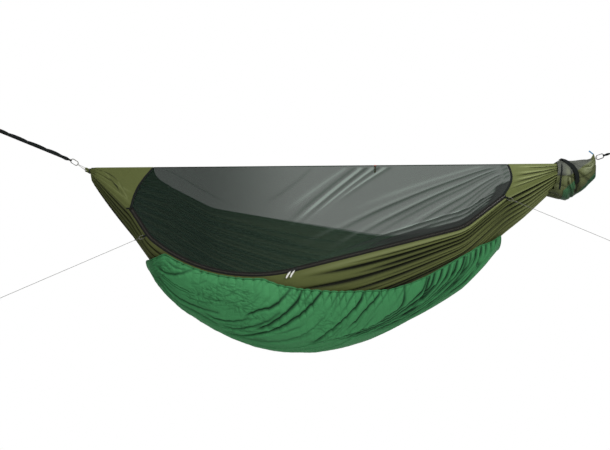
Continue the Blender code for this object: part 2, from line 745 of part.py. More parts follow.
def make_tie_out(end, course_x, guy_end, web, metal, cord):
    xs = [point[0] for point in COURSE]
    drop = float(np.interp(course_x, xs, [point[1] for point in COURSE]))
    heading = float(np.interp(course_x, xs, [point[2] for point in COURSE]))
    out = Vector((0, -math.cos(LEAN), math.sin(LEAN)))
    root = slope_point(course_x + 0.005 * math.sin(heading), drop + 0.005 * math.cos(heading))
    root += out * 0.0045
    along = (Vector(guy_end) - root).normalized()
    frame = pivot(f"{end}_tie_line", root + along * (TAB_LENGTH + 0.002), axes(along, Vector((0, -1, 0))))
    folded_tab(f"{end}_tie_tab", frame, RING_WIRE, TAB_LENGTH, TAB_WIDTH, TAB_THICK, web)
    half = RING_WIDTH / 2
    flat = 0.0055
    side = [(0.0, flat), (0.0009, flat + 0.0021), (0.0030, half)]
    side += [(RING_LENGTH - half + half * math.cos(t), half * math.sin(t)) for t in np.radians((90, 60, 30))]
    ring = [Vector((x, y, 0)) for x, y in side] + [Vector((RING_LENGTH, 0, 0))]
    ring += [Vector((x, -y, 0)) for x, y in reversed(side)]
    tube(f"{end}_tie_ring", ring, RING_WIRE, metal, closed=True, sides=2, parent=frame)
    wrap = RING_WIRE / 2 + GUY_CORD / 2 + 0.0004
    bight_length = 0.015
    tube(f"{end}_guy_bight", teardrop(RING_LENGTH, wrap, bight_length, 0.0016), GUY_CORD, cord,
         closed=True, sides=2, parent=frame)
    first = RING_LENGTH + bight_length + GUY_CORD / 2 + TOUCH + KNOT * 0.65
    total = (Vector(guy_end) - (root + along * (TAB_LENGTH + 0.002))).length
    line = tube(f"{end}_guy_line", [Vector((x, 0, 0)) for x in np.linspace(first, total, 8)],
                GUY_CORD, cord, sides=2, parent=frame)
    line = union(line, knot(f"{end}_knot_in", Vector((first, 0, 0)), cord, frame))
    union(line, knot(f"{end}_knot_out", Vector((total, 0, 0)), cord, frame))
    eye_start = total + KNOT * 0.65 + TOUCH + GUY_CORD / 2
    eye = [Vector((eye_start + 0.034 - p.x, p.y, p.z)) for p in teardrop(0.008, 0.008, 0.026, 0.0016)]
    tube(f"{end}_guy_eye", eye, GUY_CORD, cord, closed=True, sides=2, parent=frame)


def make_tabs(web):
    over = pivot("ridge_tab_line", Vector((0.255, 0, 0)), axes(Vector((0, 0, 1)), Vector((0, -1, 0))))
    folded_tab("ridge_hang_tab", over, RIDGE_CORD, 0.042, 0.012, 0.0010, web)
    x, drop, _ = COURSE[0]
    corner = slope_point(x - 0.004, drop - 0.004) + Vector((0, -math.cos(LEAN), math.sin(LEAN))) * 0.0030
    side = pivot("corner_tab_line", corner + Vector((-0.020, -0.008, 0.002)),
                 axes(Vector((-0.92, -0.37, 0.09)), Vector((0, -1, 0))))
    folded_tab("corner_tab", side, 0.003, 0.0195, 0.008, 0.0010, web)


# Zip sliders

def course_frame(x, drop, heading):
    """A frame on the zip: X along the travel, Y up the slope, Z out of the tape."""
    travel = slope_point(x + math.cos(heading), drop - math.sin(heading)) - slope_point(x, drop)
    out = Vector((0, -math.cos(LEAN), math.sin(LEAN)))
    return Matrix((travel, out.cross(travel), out)).transposed().to_4x4()


def make_slider(end, hub, place, heading, metal, pull_cord):
    """A slider that grips both halves of the zip, its bail, and the pull that hangs on it.

    Its frame hangs on an empty at `hub`, which is the middle of the arc for the head slider.
    """
    x, drop = place
    centre = pivot(f"{end}_travel_axis", hub)
    frame = pivot(f"{end}_slider_line", slope_point(x, drop) - hub, course_frame(x, drop, heading),
                  parent=centre)
    front, back, lip, neck = 0.0032, -0.0012, 0.0010, 0.0004
    outline = [(-SLIDER_HALF, lip), (-SLIDER_HALF + 0.0010, lip), (-SLIDER_HALF + 0.0010, front),
               (-neck, front), (-neck, back), (-SLIDER_HALF, back), (-SLIDER_HALF, back - 0.0010),
               (SLIDER_HALF, back - 0.0010), (SLIDER_HALF, back), (neck, back), (neck, front),
               (SLIDER_HALF - 0.0010, front), (SLIDER_HALF - 0.0010, lip), (SLIDER_HALF, lip),
               (SLIDER_HALF, front + 0.0008), (SLIDER_HALF - 0.0008, front + 0.0014),
               (-SLIDER_HALF + 0.0008, front + 0.0014), (-SLIDER_HALF, front + 0.0008)]
    rings = [[Vector((along, a, b)) for a, b in outline] for along in
             (-SLIDER_LENGTH / 2, SLIDER_LENGTH / 2)]
    slider = loft(f"{end}_slider", rings, metal, frame)
    top = front + 0.0012
    arch = [(-0.0062, top - 0.0004), (-0.0046, top - 0.0004), (-0.0040, BAIL_OUT - BAIL_ROD / 2),
            (0.0040, BAIL_OUT - BAIL_ROD / 2), (0.0046, top - 0.0004), (0.0062, top - 0.0004),
            (0.0050, BAIL_OUT + BAIL_ROD / 2), (-0.0050, BAIL_OUT + BAIL_ROD / 2)]
    bail_rings = [[Vector((along, side, b)) for along, b in arch] for side in
                  (-BAIL_ROD / 2, BAIL_ROD / 2)]
    union(slider, loft(f"{end}_bail", bail_rings, metal, frame))

    angle = PULL_ANGLE - RUN_HEADING
    swing = pivot(f"{end}_pull_axis", Vector((0, 0, BAIL_OUT)),
                  Matrix.Rotation(-PULL_LIFT, 4, "X") @ Matrix.Rotation(math.pi + angle, 4, "Z"), frame)
    eye = [Vector((0.0033 + 0.0069 * math.cos(t), 0, 0.0036 * math.sin(t)))
           for t in np.radians(np.arange(0, 360, 36))]
    eye_ring = tube(f"{end}_pull", eye, 0.0014, pull_cord, closed=True, sides=1, parent=swing)
    grip = []
    for along, wide, thick in ((0.0096, 0.0010, 0.0009), (0.0140, 0.0012, 0.0010), (0.0200, 0.0014, 0.0010),
                               (0.0230, 0.0030, 0.0014), (0.0300, 0.0042, 0.0016), (0.0550, 0.0046, 0.0017),
                               (0.0610, 0.0036, 0.0015), (PULL_LENGTH, 0.0018, 0.0010)):
        grip.append([Vector((along, wide * math.cos(t), thick * math.sin(t)))
                     for t in np.linspace(0, 2 * math.pi, 9)[:-1]])
    union(eye_ring, loft(f"{end}_grip", grip, pull_cord, swing))


def make_sliders(metal, pull_cord):
    turned = RUN_HEADING - (SLIDER_LENGTH + SLIDER_GAP) / 2 / ARC_RADIUS
    head_place = (ARC_CENTRE[0] + ARC_RADIUS * math.sin(turned),
                  ARC_CENTRE[1] + ARC_RADIUS * math.cos(turned))
    make_slider("head", slope_point(*ARC_CENTRE), head_place, turned, metal, pull_cord)
    ahead = (SLIDER_LENGTH + SLIDER_GAP) / 2
    run_x = ARC_CENTRE[0] + ARC_RADIUS * math.sin(RUN_HEADING) + ahead * math.cos(RUN_HEADING)
    run_drop = ARC_CENTRE[1] + ARC_RADIUS * math.cos(RUN_HEADING) - ahead * math.sin(RUN_HEADING)
    run_start = slope_point(run_x, run_drop)
    make_slider("foot", run_start, (run_x, run_drop), RUN_HEADING, metal, pull_cord)


# Stuff sack, turned out of the way round the foot gather

SACK_RINGS = (                # top x and z, bottom x and z, half width, middle across
    (1.5000, 0.0540, 1.5080, 0.0180, 0.0170, 0.000),
    (1.4850, 0.0300, 1.5160, -0.0120, 0.0240, 0.000),
    (1.4500, 0.0200, 1.5120, -0.0760, 0.0440, 0.003),
    (1.4050, 0.0190, 1.4640, -0.1330, 0.0620, 0.010),
    (1.3600, 0.0210, 1.4020, -0.1920, 0.0760, 0.018),
    (1.3270, 0.0290, 1.3540, -0.2160, 0.0880, 0.024),
    (1.2930, 0.0080, 1.2620, -0.1960, 0.0960, 0.027))


def sack_point(t, angle, lift=0.0):
    """The sack's skin: t runs from the neck (0) to the mouth (1), the angle from the top."""
    k = min(t * (len(SACK_RINGS) - 1), len(SACK_RINGS) - 1.001)
    low = SACK_RINGS[int(k)]
    high = SACK_RINGS[int(k) + 1]
    x0, z0, x1, z1, half, across = [a + (b - a) * (k - int(k)) for a, b in zip(low, high)]
    top = Vector((x0, 0, z0))
    bottom = Vector((x1, 0, z1))
    crease = 1 + 0.05 * math.sin(5 * angle + 4 * t) * t
    stretch = (top - bottom).length / 2
    point = (top + bottom) / 2 + Vector((0, across, 0))
    point += (top - bottom) / 2 * math.cos(angle) * (1 + lift / stretch)
    return point - Vector((0, 1, 0)) * (half * crease + lift) * math.sin(angle)


def make_sack(cloth, hem_cloth, web):
    angles = np.linspace(0, 2 * math.pi, 21)[:-1]
    hem_start = 0.90
    levels = [0.0, 0.08, 1 / 6, 0.25, 2 / 6, 3 / 6, 4 / 6, 0.75, 5 / 6, hem_start]
    shell = loft("stuff_sack", [[sack_point(t, a) for a in angles] for t in levels], cloth, caps=False)
    hem_levels = [hem_start + 0.006, 0.95, 1.0]
    hem = loft("sack_hem", [[sack_point(t, a) for a in angles] for t in hem_levels], hem_cloth, caps=False)
    for piece, thickness in ((shell, 0.0012), (hem, 0.0022)):
        wall = piece.modifiers.new("thickness", "SOLIDIFY")
        wall.thickness = thickness
        wall.offset = 0.0
    sack_band("sack_band", ((0.88, -10), (0.80, 10), (0.70, 30), (0.62, 50), (0.60, 70), (0.60, 92),
                            (0.61, 114), (0.62, 132)), 0.030, web)
    sack_band("sack_mouth_strap", ((0.86, 24), (0.87, 42), (0.875, 60), (0.88, 78), (0.885, 98)), 0.020, web)
    loop_frame = pivot("sack_loop_line", Vector((1.479, 0, 0.069)),
                       axes(Vector((-0.80, 0, 0.60)), Vector((0, -1, 0))))
    folded_tab("sack_loop", loop_frame, 0.008, 0.0235, 0.007, 0.0010, web)


def sack_band(name, route, half_band, web):
    """Webbing laid on the sack's skin along (t, degrees) stations."""
    stops = np.linspace(0.0, 1.0, len(route))

    def surface(u, v):
        t = float(np.interp(u, stops, [place[0] for place in route]))
        angle = math.radians(float(np.interp(u, stops, [place[1] for place in route])))
        slant = float(np.interp(min(u + 0.05, 1.0), stops, [place[0] for place in route]))
        slant -= float(np.interp(max(u - 0.05, 0.0), stops, [place[0] for place in route]))
        return sack_point(t + (v - 0.5) * 2 * half_band, angle + (v - 0.5) * -6 * slant, 0.0042)

    sheet(name, surface, 3 * len(route), 2, 0.0014, web)


# Scene

clear_scene()
parts = collection(PARTS)
cutters = collection("hammock_cutters")
middle = bpy.data.objects.new("ridgeline_middle", None)
parts.objects.link(middle)
middle.location = (MIDDLE_X, 0.0, -RIDGE_DROP)

COURSE = edge_course()
BED_EDGE = edge_table(TAPE_OUTER + 0.001, BED_BEHIND)
NET_EDGE = edge_table(-TAPE_OUTER - SEAM_GAP)

olive = finish("olive_ripstop", (0.095, 0.115, 0.035), 0.6)
green = finish("green_ripstop", (0.045, 0.24, 0.075), 0.6)
net_cloth = finish("bug_net", (0.02, 0.03, 0.025), 0.7)
dark_tape = finish("zip_tape", (0.05, 0.045, 0.04), 0.7)
black_web = finish("black_webbing", (0.012, 0.014, 0.014), 0.75)
elastic = finish("shock_cord", (0.04, 0.16, 0.06), 0.6)
white_cord = finish("white_cord", (0.62, 0.62, 0.58), 0.6)
grey_metal = finish("grey_metal", (0.42, 0.43, 0.40), 0.35, 1.0)
black_metal = finish("black_metal", (0.03, 0.03, 0.03), 0.4, 1.0)

make_bed(olive, net_cloth, black_web)
make_edges(dark_tape, dark_tape)
make_quilt(green, elastic)
make_gather("head", -1, olive, black_web)
make_gather("foot", 1, olive, black_web)
make_suspension("head", -1, HEAD_PULL, HEAD_REACH, HEAD_STRAP_RISE, HEAD_STRAP_EYE,
                (math.radians(45), 0.044), (white_cord, grey_metal, black_metal, black_web), True)
make_suspension("foot", 1, FOOT_PULL, FOOT_REACH, FOOT_STRAP_RISE, FOOT_STRAP_EYE,
                (math.radians(68), 0.024), (white_cord, black_metal, black_metal, black_web), False)
make_tie_out("head", HEAD_TIE_X, HEAD_GUY_END, black_web, grey_metal, white_cord)
make_tie_out("foot", FOOT_TIE_X, FOOT_GUY_END, black_web, grey_metal, white_cord)
make_tabs(black_web)
make_sliders(black_metal, white_cord)
make_sack(olive, green, black_web)
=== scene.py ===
# %% [markdown]
# A camping hammock with its bug net and underquilt, dressed for a studio picture.
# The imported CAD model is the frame: it says where everything is. Each soft piece is made again
# here with its real folds and threads, and each metal piece gets a worn finish.

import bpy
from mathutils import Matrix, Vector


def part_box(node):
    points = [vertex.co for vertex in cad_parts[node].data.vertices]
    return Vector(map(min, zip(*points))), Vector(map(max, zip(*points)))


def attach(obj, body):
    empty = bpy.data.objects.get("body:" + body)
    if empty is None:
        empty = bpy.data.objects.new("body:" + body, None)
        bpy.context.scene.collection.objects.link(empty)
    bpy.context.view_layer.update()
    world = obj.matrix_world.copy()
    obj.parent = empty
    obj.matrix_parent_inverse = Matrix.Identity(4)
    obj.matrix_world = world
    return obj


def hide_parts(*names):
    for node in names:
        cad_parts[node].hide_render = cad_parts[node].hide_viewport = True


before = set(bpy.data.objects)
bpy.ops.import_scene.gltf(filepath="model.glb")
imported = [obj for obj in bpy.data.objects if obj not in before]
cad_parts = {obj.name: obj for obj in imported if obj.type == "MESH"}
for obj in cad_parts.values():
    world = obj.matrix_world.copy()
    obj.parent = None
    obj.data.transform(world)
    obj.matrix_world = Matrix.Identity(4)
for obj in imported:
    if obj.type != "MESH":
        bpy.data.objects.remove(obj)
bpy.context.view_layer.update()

import math

import bmesh
import bpy
import numpy as np
from mathutils import Matrix, Vector, noise

# %% [markdown]
# The hammock is laid out from the middle of its ridgeline, so the same formulas as in the CAD
# source give points from there, and one shift brings them into the frame.

# %% Middle of the ridgeline
low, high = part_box("ridgeline")
MIDDLE = np.array((low + high) / 2)


def in_frame(place):
    """A place in the frame, from where it is as seen from the ridgeline's middle."""
    return Vector(MIDDLE + np.array(place))


def new_object(name, data):
    """An object round a mesh, a lamp or the camera, linked to the scene."""
    made = bpy.data.objects.new(name, data)
    bpy.context.scene.collection.objects.link(made)
    return made


print("ridgeline middle", MIDDLE.round(4))

# %% [markdown]
# The camera stands five metres in front of the hammock, a little above the ridgeline, and is
# tilted down. The picture leans by half a degree, as the photograph does.

# %% Camera
PICTURE_WIDE = 610
FOCAL_PIXELS = 880.5
CAMERA_PLACE = (-0.1482, -5.0, 0.64)
CAMERA_TARGET = (-0.1482, 0.0, -0.342)
PICTURE_LEAN = math.radians(-0.49)
camera_data = bpy.data.cameras.new("studio_camera")
camera_data.sensor_width = 36.0
camera_data.lens = FOCAL_PIXELS / PICTURE_WIDE * camera_data.sensor_width
camera = new_object("studio_camera", camera_data)
camera.location = in_frame(CAMERA_PLACE)
aim = (in_frame(CAMERA_TARGET) - camera.location).to_track_quat("-Z", "Y").to_matrix()
camera.matrix_world = (Matrix.Translation(camera.location)
                       @ (aim @ Matrix.Rotation(PICTURE_LEAN, 3, "Z")).to_4x4())
bpy.context.scene.camera = camera
print("lens", round(camera_data.lens, 2), "mm")

# %% [markdown]
# Shader maths reads best as plain sums. A small class wraps a socket, so that `1 - mask` or
# `threads * 0.4` adds the Math node, and one method makes any other node.

# %% A socket that can be used in sums


class Wire:
    """A node's output that adds Math nodes when it is used in an expression."""

    def __init__(self, nodes, socket):
        self.nodes = nodes
        self.socket = socket

    def maths(self, operation, *values):
        return self.nodes.node("ShaderNodeMath", {"operation": operation}, *values)

    def __add__(self, other):
        return self.maths("ADD", self, other)

    __radd__ = __add__

    def __mul__(self, other):
        return self.maths("MULTIPLY", self, other)

    __rmul__ = __mul__

    def __sub__(self, other):
        return self.maths("SUBTRACT", self, other)

    def __rsub__(self, other):
        return self.maths("SUBTRACT", other, self)

    def __truediv__(self, other):
        return self.maths("DIVIDE", self, other)

    def __pow__(self, other):
        return self.maths("POWER", self, other)

    def wave(self):
        return self.maths("SINE", self)

    def size(self):
        return self.maths("ABSOLUTE", self)

    def above(self, other):
        return self.maths("GREATER_THAN", self, other)

    def least(self, other):
        return self.maths("MINIMUM", self, other)

    def most(self, other):
        return self.maths("MAXIMUM", self, other)


class Nodes:
    """A node tree in which one call makes any node and gives its output as a Wire."""

    def __init__(self, tree):
        self.tree = tree

    def node(self, kind, settings=None, *values, out=0, **named):
        """Any node: its settings first, then the values or links of its sockets."""
        made = self.tree.nodes.new(kind)
        for key, value in (settings or {}).items():
            setattr(made, key, value)
        for i, value in enumerate(values):
            self.plug(made.inputs[i], value)
        for key, value in named.items():
            self.plug(made.inputs[key.replace("_", " ")], value)
        return Wire(self, made.outputs[out])

    def plug(self, socket, value):
        """Links a socket or sets its value; a colour is given without its alpha."""
        if isinstance(value, Wire):
            self.tree.links.new(value.socket, socket)
        else:
            socket.default_value = (*value, 1.0) if socket.type == "RGBA" else value

    def mix(self, share, first, second):
        """A mix of two colours by a share."""
        made = self.tree.nodes.new("ShaderNodeMix")
        made.data_type = "RGBA"
        for i, value in ((0, share), (6, first), (7, second)):
            self.plug(made.inputs[i], value)
        return Wire(self, made.outputs[2])

    def place(self, output="Object"):
        return self.node("ShaderNodeTexCoord", out=output)

    def parts(self, vector):
        """The X, Y and Z of a vector, each as a wire."""
        made = self.tree.nodes.new("ShaderNodeSeparateXYZ")
        self.plug(made.inputs[0], vector)
        return [Wire(self, socket) for socket in made.outputs]

    # On cloth this mark paints shade into folds and highlights onto the ridges beside them.
    def fold(self):
        """The mesh's own mark: above 0 deep in a fold, below 0 on the ridge beside one."""
        return self.node("ShaderNodeAttribute", {"attribute_name": "fold"}, out=2)

    def cloud(self, scale, detail):
        return self.node("ShaderNodeTexNoise", None, self.place(), Scale=scale, Detail=detail)

    def bump(self, height, distance, strength):
        """Small relief from a height, in metres."""
        return self.node("ShaderNodeBump", Strength=strength, Distance=distance, Height=height)

    def seen(self):
        """1 for what the camera meets straight, in a reflection or through a sheet, else 0."""
        path = self.tree.nodes.new("ShaderNodeLightPath").outputs
        rays = [Wire(self, path[f"Is {ray} Ray"]) for ray in ("Camera", "Glossy", "Transmission")]
        return rays[0].most(rays[1]).most(rays[2])


class Finish(Nodes):
    """A material, made node by node around one Principled shader."""

    def __init__(self, name):
        self.material = bpy.data.materials.new(name)
        self.material.use_nodes = True
        super().__init__(self.material.node_tree)
        self.shader = self.tree.nodes["Principled BSDF"]

    def surface(self, **sockets):
        for key, value in sockets.items():
            self.plug(self.shader.inputs[key.replace("_", " ")], value)
        return self.material


# %% [markdown]
# Cloth is drawn in its own cut size: every sheet carries a UV map in metres, so that threads
# keep their real pitch however the cloth is folded. Points are made with numpy, all at once.

# %% Mesh helpers


def join_mesh(name, points, faces, uvs=None, folds=None):
    """A mesh in the frame from points that are measured from the ridgeline's middle."""
    mesh = bpy.data.meshes.new(name)
    mesh.from_pydata((np.asarray(points) + MIDDLE).tolist(), [], faces)
    if uvs is not None:
        layer = mesh.uv_layers.new(name="cut")
        corners = np.zeros(len(mesh.loops), int)
        mesh.loops.foreach_get("vertex_index", corners)
        if len(uvs) == len(points):
            uvs = np.asarray(uvs)[corners]
        layer.data.foreach_set("uv", np.asarray(uvs, np.float32).ravel())
    if folds is not None:
        mark = mesh.attributes.new("fold", "FLOAT", "POINT")
        mark.data.foreach_set("value", np.asarray(folds, np.float32).ravel())
    mesh.shade_smooth()
    mesh.validate()
    return mesh


def add_object(name, mesh, material, body="hammock", slot=None, nodes=()):
    """A dressed piece: its finish, the body it rides on, and the CAD nodes it stands for."""
    made = new_object(name, mesh)
    mesh.materials.append(material)
    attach(made, body)
    if nodes:
        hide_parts(*nodes)
    return made


def grid_faces(rows, columns, first=0, flip=False):
    index = first + np.arange(rows * columns).reshape(rows, columns)
    quads = np.stack([index[:-1, :-1], index[1:, :-1], index[1:, 1:], index[:-1, 1:]], -1)
    quads = quads.reshape(-1, 4)
    return (quads[:, ::-1] if flip else quads).tolist()


def cut_lengths(points):
    """UVs in metres: the mean length along the rows and across the columns."""
    along = np.linalg.norm(np.diff(points, axis=0), axis=2).mean(axis=1)
    across = np.linalg.norm(np.diff(points, axis=1), axis=2).mean(axis=0)
    u = np.concatenate([[0], np.cumsum(along)])
    v = np.concatenate([[0], np.cumsum(across)])
    return np.stack(np.meshgrid(u, v, indexing="ij"), -1).reshape(-1, 2)


def cloth(name, points, material, thickness, folds=None, **rest):
    """A sheet over a grid of points, with a real thickness unless it is a net."""
    rows, columns = points.shape[:2]
    mesh = join_mesh(name, points.reshape(-1, 3), grid_faces(rows, columns),
                     cut_lengths(points), folds)
    made = add_object(name, mesh, material, **rest)
    if thickness:
        shell = made.modifiers.new("cloth thickness", "SOLIDIFY")
        shell.thickness = thickness
        shell.offset = 0.0
    return made


def unit(vectors):
    return vectors / np.linalg.norm(vectors, axis=-1, keepdims=True)


def run_of(points, closed=False):
    """The distance along a line at each of its points, and back to the first if it is closed."""
    points = np.asarray(points, float)
    if closed:
        points = np.concatenate([points, points[:1]])
    return np.concatenate([[0], np.cumsum(np.linalg.norm(np.diff(points, axis=0), axis=1))])


def tube_mesh(name, rings, reach, girth, closed=False, flip=False, folds=None):
    """Rings of points joined into a tube; an open one gets a cap at each end."""
    rows, count = rings.shape[:2]
    order = (0, 3, 2, 1) if flip else (0, 1, 2, 3)
    faces, uvs = [], []
    for i in range(rows if closed else rows - 1):
        near, far = i * count, (i + 1) % rows * count
        for j in range(count):
            n = (j + 1) % count
            face = (near + j, far + j, far + n, near + n)
            cut = ((reach[i], girth[j]), (reach[i + 1], girth[j]),
                   (reach[i + 1], girth[j + 1]), (reach[i], girth[j + 1]))
            faces.append([face[corner] for corner in order])
            uvs += [cut[corner] for corner in order]
    if not closed:
        for ring, way in ((0, -1 if flip else 1), (rows - 1, 1 if flip else -1)):
            faces.append([ring * count + j for j in range(count)][::way])
            uvs += [(reach[ring], g) for g in girth[:-1]][::way]
    return join_mesh(name, rings.reshape(-1, 3), faces, uvs, folds)


def cord_piece(name, points, diameter, material, sides, normal=(0, 0, 1), closed=False, **rest):
    """A round cord along a line, whose sides don't twist round it."""
    points = np.asarray(points, float)
    if closed:
        along = unit(np.roll(points, -1, 0) - np.roll(points, 1, 0))
    else:
        along = unit(np.gradient(points, axis=0))
    out = []
    for step in along:
        normal = unit(normal - step * np.dot(normal, step))
        out.append(normal)
    out = np.array(out)
    turn = np.linspace(0, 2 * math.pi, sides, endpoint=False)
    profile = np.stack([np.cos(turn), np.sin(turn)], -1) * diameter / 2
    rings = (points[:, None] + np.cross(along, out)[:, None] * profile[None, :, :1]
             + out[:, None] * profile[None, :, 1:])
    mesh = tube_mesh(name, rings, run_of(points, closed), run_of(profile, True), closed)
    return add_object(name, mesh, material, **rest)


def web_profile(width, thickness):
    """A flat section with rounded edges."""
    w, t = width / 2, thickness / 2
    r = min(t, w) * 0.9
    half = [(w, 0.0), (w - 0.3 * r, 0.7 * t), (w - r, t), (0.0, t)]
    top = half + [(-x, z) for x, z in reversed(half[:-1])]
    return top + [(x, -z) for x, z in reversed(top[1:-1])]


def half_round(radius, steps):
    """Half a circle of points, from below to above."""
    return [(radius * math.cos(t), radius * math.sin(t))
            for t in np.radians(np.linspace(-90, 90, steps))]


def repeat_faces(block, size, count):
    """The faces of one small block of points, again for each of its copies."""
    return [[size * k + i for i in face] for k in range(count) for face in block]


def weld(mesh, distance, close=False):
    """Joins the points that lie on each other, and closes the open ends if asked."""
    work = bmesh.new()
    work.from_mesh(mesh)
    bmesh.ops.remove_doubles(work, verts=work.verts, dist=distance)
    if close:
        rims = [edge for edge in work.edges if edge.is_boundary]
        bmesh.ops.holes_fill(work, edges=rims, sides=0)
        bmesh.ops.recalc_face_normals(work, faces=work.faces)
    work.to_mesh(mesh)
    work.free()
    mesh.shade_smooth()


def ripple(axes, scale, seed):
    """Smooth noise from -1 to 1 at places given by two or three coordinates."""
    x, y, *z = (np.ravel(axis) * scale for axis in axes)
    z = (z[0] if z else 0 * x) + seed
    return np.array([noise.noise(Vector(place)) for place in zip(x, y, z)]).reshape(axes[0].shape)


def smooth_curve(points, closed=True):
    """A Catmull-Rom curve through a few points."""
    points = np.asarray(points, float)
    count = len(points)
    out = []
    for i in range(count if closed else count - 1):
        if closed:
            a, b, c, d = (points[(i + k) % count] for k in (-1, 0, 1, 2))
        else:
            b, c = points[i], points[i + 1]
            a = points[i - 1] if i else 2 * b - c
            d = points[i + 2] if i + 2 < count else 2 * c - b
        for t in np.linspace(0, 1, 5, endpoint=False):
            out.append(0.5 * (2 * b + (c - a) * t + (2 * a - 5 * b + 4 * c - d) * t * t
                              + (3 * b - a - 3 * c + d) * t ** 3))
    if not closed:
        out.append(points[-1])
    return np.array(out)


def smooth_step(x, a, b):
    t = np.clip((x - a) / (b - a), 0, 1)
    return t * t * (3 - 2 * t)


def inset(share, width):
    """0 at both ends of a share and 1 from a width inside them."""
    return smooth_step(np.minimum(share, 1 - share), 0, width)


def bulges(places, at, power):
    """How far cloth stands out between two of its folds: 0 at each fold and 1 midway."""
    after = np.clip(np.searchsorted(places, at), 1, len(places) - 1)
    low, high = places[after - 1], places[after]
    return np.sin(math.pi * np.clip((at - low) / (high - low), 0, 1)) ** power


def path_gap(places, path):
    """The distance from each place to a path, and the share of the path passed there."""
    gap = np.full(places.shape[:-1], np.inf)
    share = np.zeros(places.shape[:-1])
    for k, (a, b) in enumerate(zip(path, path[1:])):
        step = b - a
        t = np.clip((places - a) @ step / step.dot(step), 0, 1)
        off = np.linalg.norm(places - a - t[..., None] * step, axis=-1)
        share = np.where(off < gap, (k + t) / (len(path) - 1), share)
        gap = np.minimum(gap, off)
    return gap, share


print("helpers ready")

# %% [markdown]
# Ripstop nylon is a light plain weave with a thicker thread every five millimetres, which stands
# out as a faint grid. Its colour and its gloss are never quite even. The mesh's fold mark paints
# shade into the bottom of a crease and a highlight on the ridge beside it.

# %% Ripstop cloth
GRID = 0.005
WEAVE_IN_GRID = 14
THICK_THREAD = 0.93


def tone(colour, times, more=0.0):
    """A lighter or darker form of a colour."""
    return tuple(min(1.0, c * times + more) for c in colour)


def grid_threads(made):
    """The cut's two directions, in turns of the grid, and where a thicker thread runs."""
    u, v, _ = made.parts(made.place("UV"))
    u, v = u * (2 * math.pi / GRID), v * (2 * math.pi / GRID)
    return u, v, u.wave().above(THICK_THREAD).most(v.wave().above(THICK_THREAD))


def ripstop(name, colour, shade):
    made = Finish(name)
    u, v, lines = grid_threads(made)
    weave = (u * WEAVE_IN_GRID).wave() * (v * WEAVE_IN_GRID).wave() * 0.5 + 0.5
    patches = made.cloud(6.0, 4.0)
    fine = made.cloud(60.0, 2.0)
    crinkle = made.cloud(150.0, 3.0)
    fold = made.fold()
    tint = made.mix(patches * 0.5 + fine * 0.15, tone(colour, 0.84), tone(colour, 1.14))
    threads = made.mix(lines * 0.3, tint, tone(colour, 1.45))
    # Painted highlight on the ridges; below, painted shade in the creases.
    ridge = made.mix((fold * -1).most(0), threads, tone(colour, 1.9, 0.05))
    relief = weave * 0.15 + lines * 0.4 + fine * 1.4 + crinkle * 0.7
    return made.surface(Base_Color=made.mix(fold.most(0), ridge, shade),
                        Roughness=0.72 + (patches - 0.5) * 0.2,
                        Normal=made.bump(relief, 0.0012, 0.5), Specular_IOR_Level=0.12)


OLIVE = (0.094, 0.110, 0.034)
OLIVE_SHADE = (0.005, 0.006, 0.003)
GREY = (0.090, 0.096, 0.086)
olive_cloth = ripstop("olive_ripstop_cloth", OLIVE, OLIVE_SHADE)
# A darker copy of the olive: painted shade for the inside of the bed.
inner_painted_shade_cloth = ripstop("inner_ripstop_painted_shade", (0.072, 0.072, 0.036), OLIVE_SHADE)
green_cloth = ripstop("green_ripstop_cloth", (0.052, 0.238, 0.087), (0.003, 0.014, 0.006))
print("ripstop in", [m.name for m in (olive_cloth, inner_painted_shade_cloth, green_cloth)])

# %% [markdown]
# Bug net is a fine knit of dark thread with open holes. From a few steps away it works like
# smoked glass, so its holes are drawn as alpha on a single layer of cloth.

# %% Bug net
HOLE = 0.0016


def net_finish():
    made = Finish("bug_net_knit")
    u, v, _ = made.parts(made.place("UV"))
    x, _, _ = made.parts(made.place())
    turn = 2 * math.pi / HOLE
    holes = ((u + v) * turn).wave() * ((u - v) * turn).wave() * 0.5 + 0.5
    patches = made.cloud(3.0, 3.0)
    fold = made.fold()
    smooth = {"interpolation_type": "SMOOTHSTEP"}
    # Towards the head the net's colour is darker, painted shade, and its cover denser, as it is
    # less stretched there.
    loose = made.node("ShaderNodeMapRange", smooth, x, 0.7, 1.4, 1, 0)
    thin = made.mix(patches, (0.009, 0.023, 0.013), (0.014, 0.034, 0.020))
    # Where the net is doubled, and in the deepest valleys of its folds, its fold value is below -1,
    # and it is drawn nearly black; in the valleys that is painted shade.
    doubled = (fold * -1 - 1).most(0).least(1)
    plain = made.mix(doubled, made.mix(loose, thin, (0.001, 0.009, 0.004)),
                     (0.008, 0.011, 0.009))
    cover = 0.58 + (1 - holes) * 0.12 + loose * 0.14 + fold.size() * 0.18
    # The ridges of its folds get a painted highlight.
    return made.surface(Base_Color=made.mix(fold.most(0) * 0.8, plain, (0.23, 0.285, 0.25)),
                        Alpha=cover.least(0.97), Roughness=0.62, Specular_IOR_Level=0.12)


net_cloth = net_finish()
print("net finish", net_cloth.name)

# %% [markdown]
# Webbing is woven with ribs across its width and rows along it. Cord has a braided sheath: two
# sets of strands that cross.
# A picture of cloth could be laid on both. Waves of the UV map's two lengths draw them here, so
# the pattern keeps its real pitch and follows every bend.

# %% Webbing, cord and tape


def webbing(name, colour, pitch=0.0022, width=0.02):
    made = Finish(name)
    u, v, _ = made.parts(made.place("UV"))
    ribs = (u * (2 * math.pi / pitch)).wave() * 0.5 + 0.5
    rows = (v * (2 * math.pi / (width / 9))).wave() * 0.5 + 0.5
    wear = made.cloud(90.0, 4.0)
    worn = made.mix(wear * 0.7 + ribs * 0.3, colour, tone(colour, 1.6, 0.002))
    return made.surface(Base_Color=worn, Roughness=0.62 + wear * 0.25, Specular_IOR_Level=0.08,
                        Normal=made.bump(ribs * 0.6 + rows * 0.4, 0.0005, 0.8))


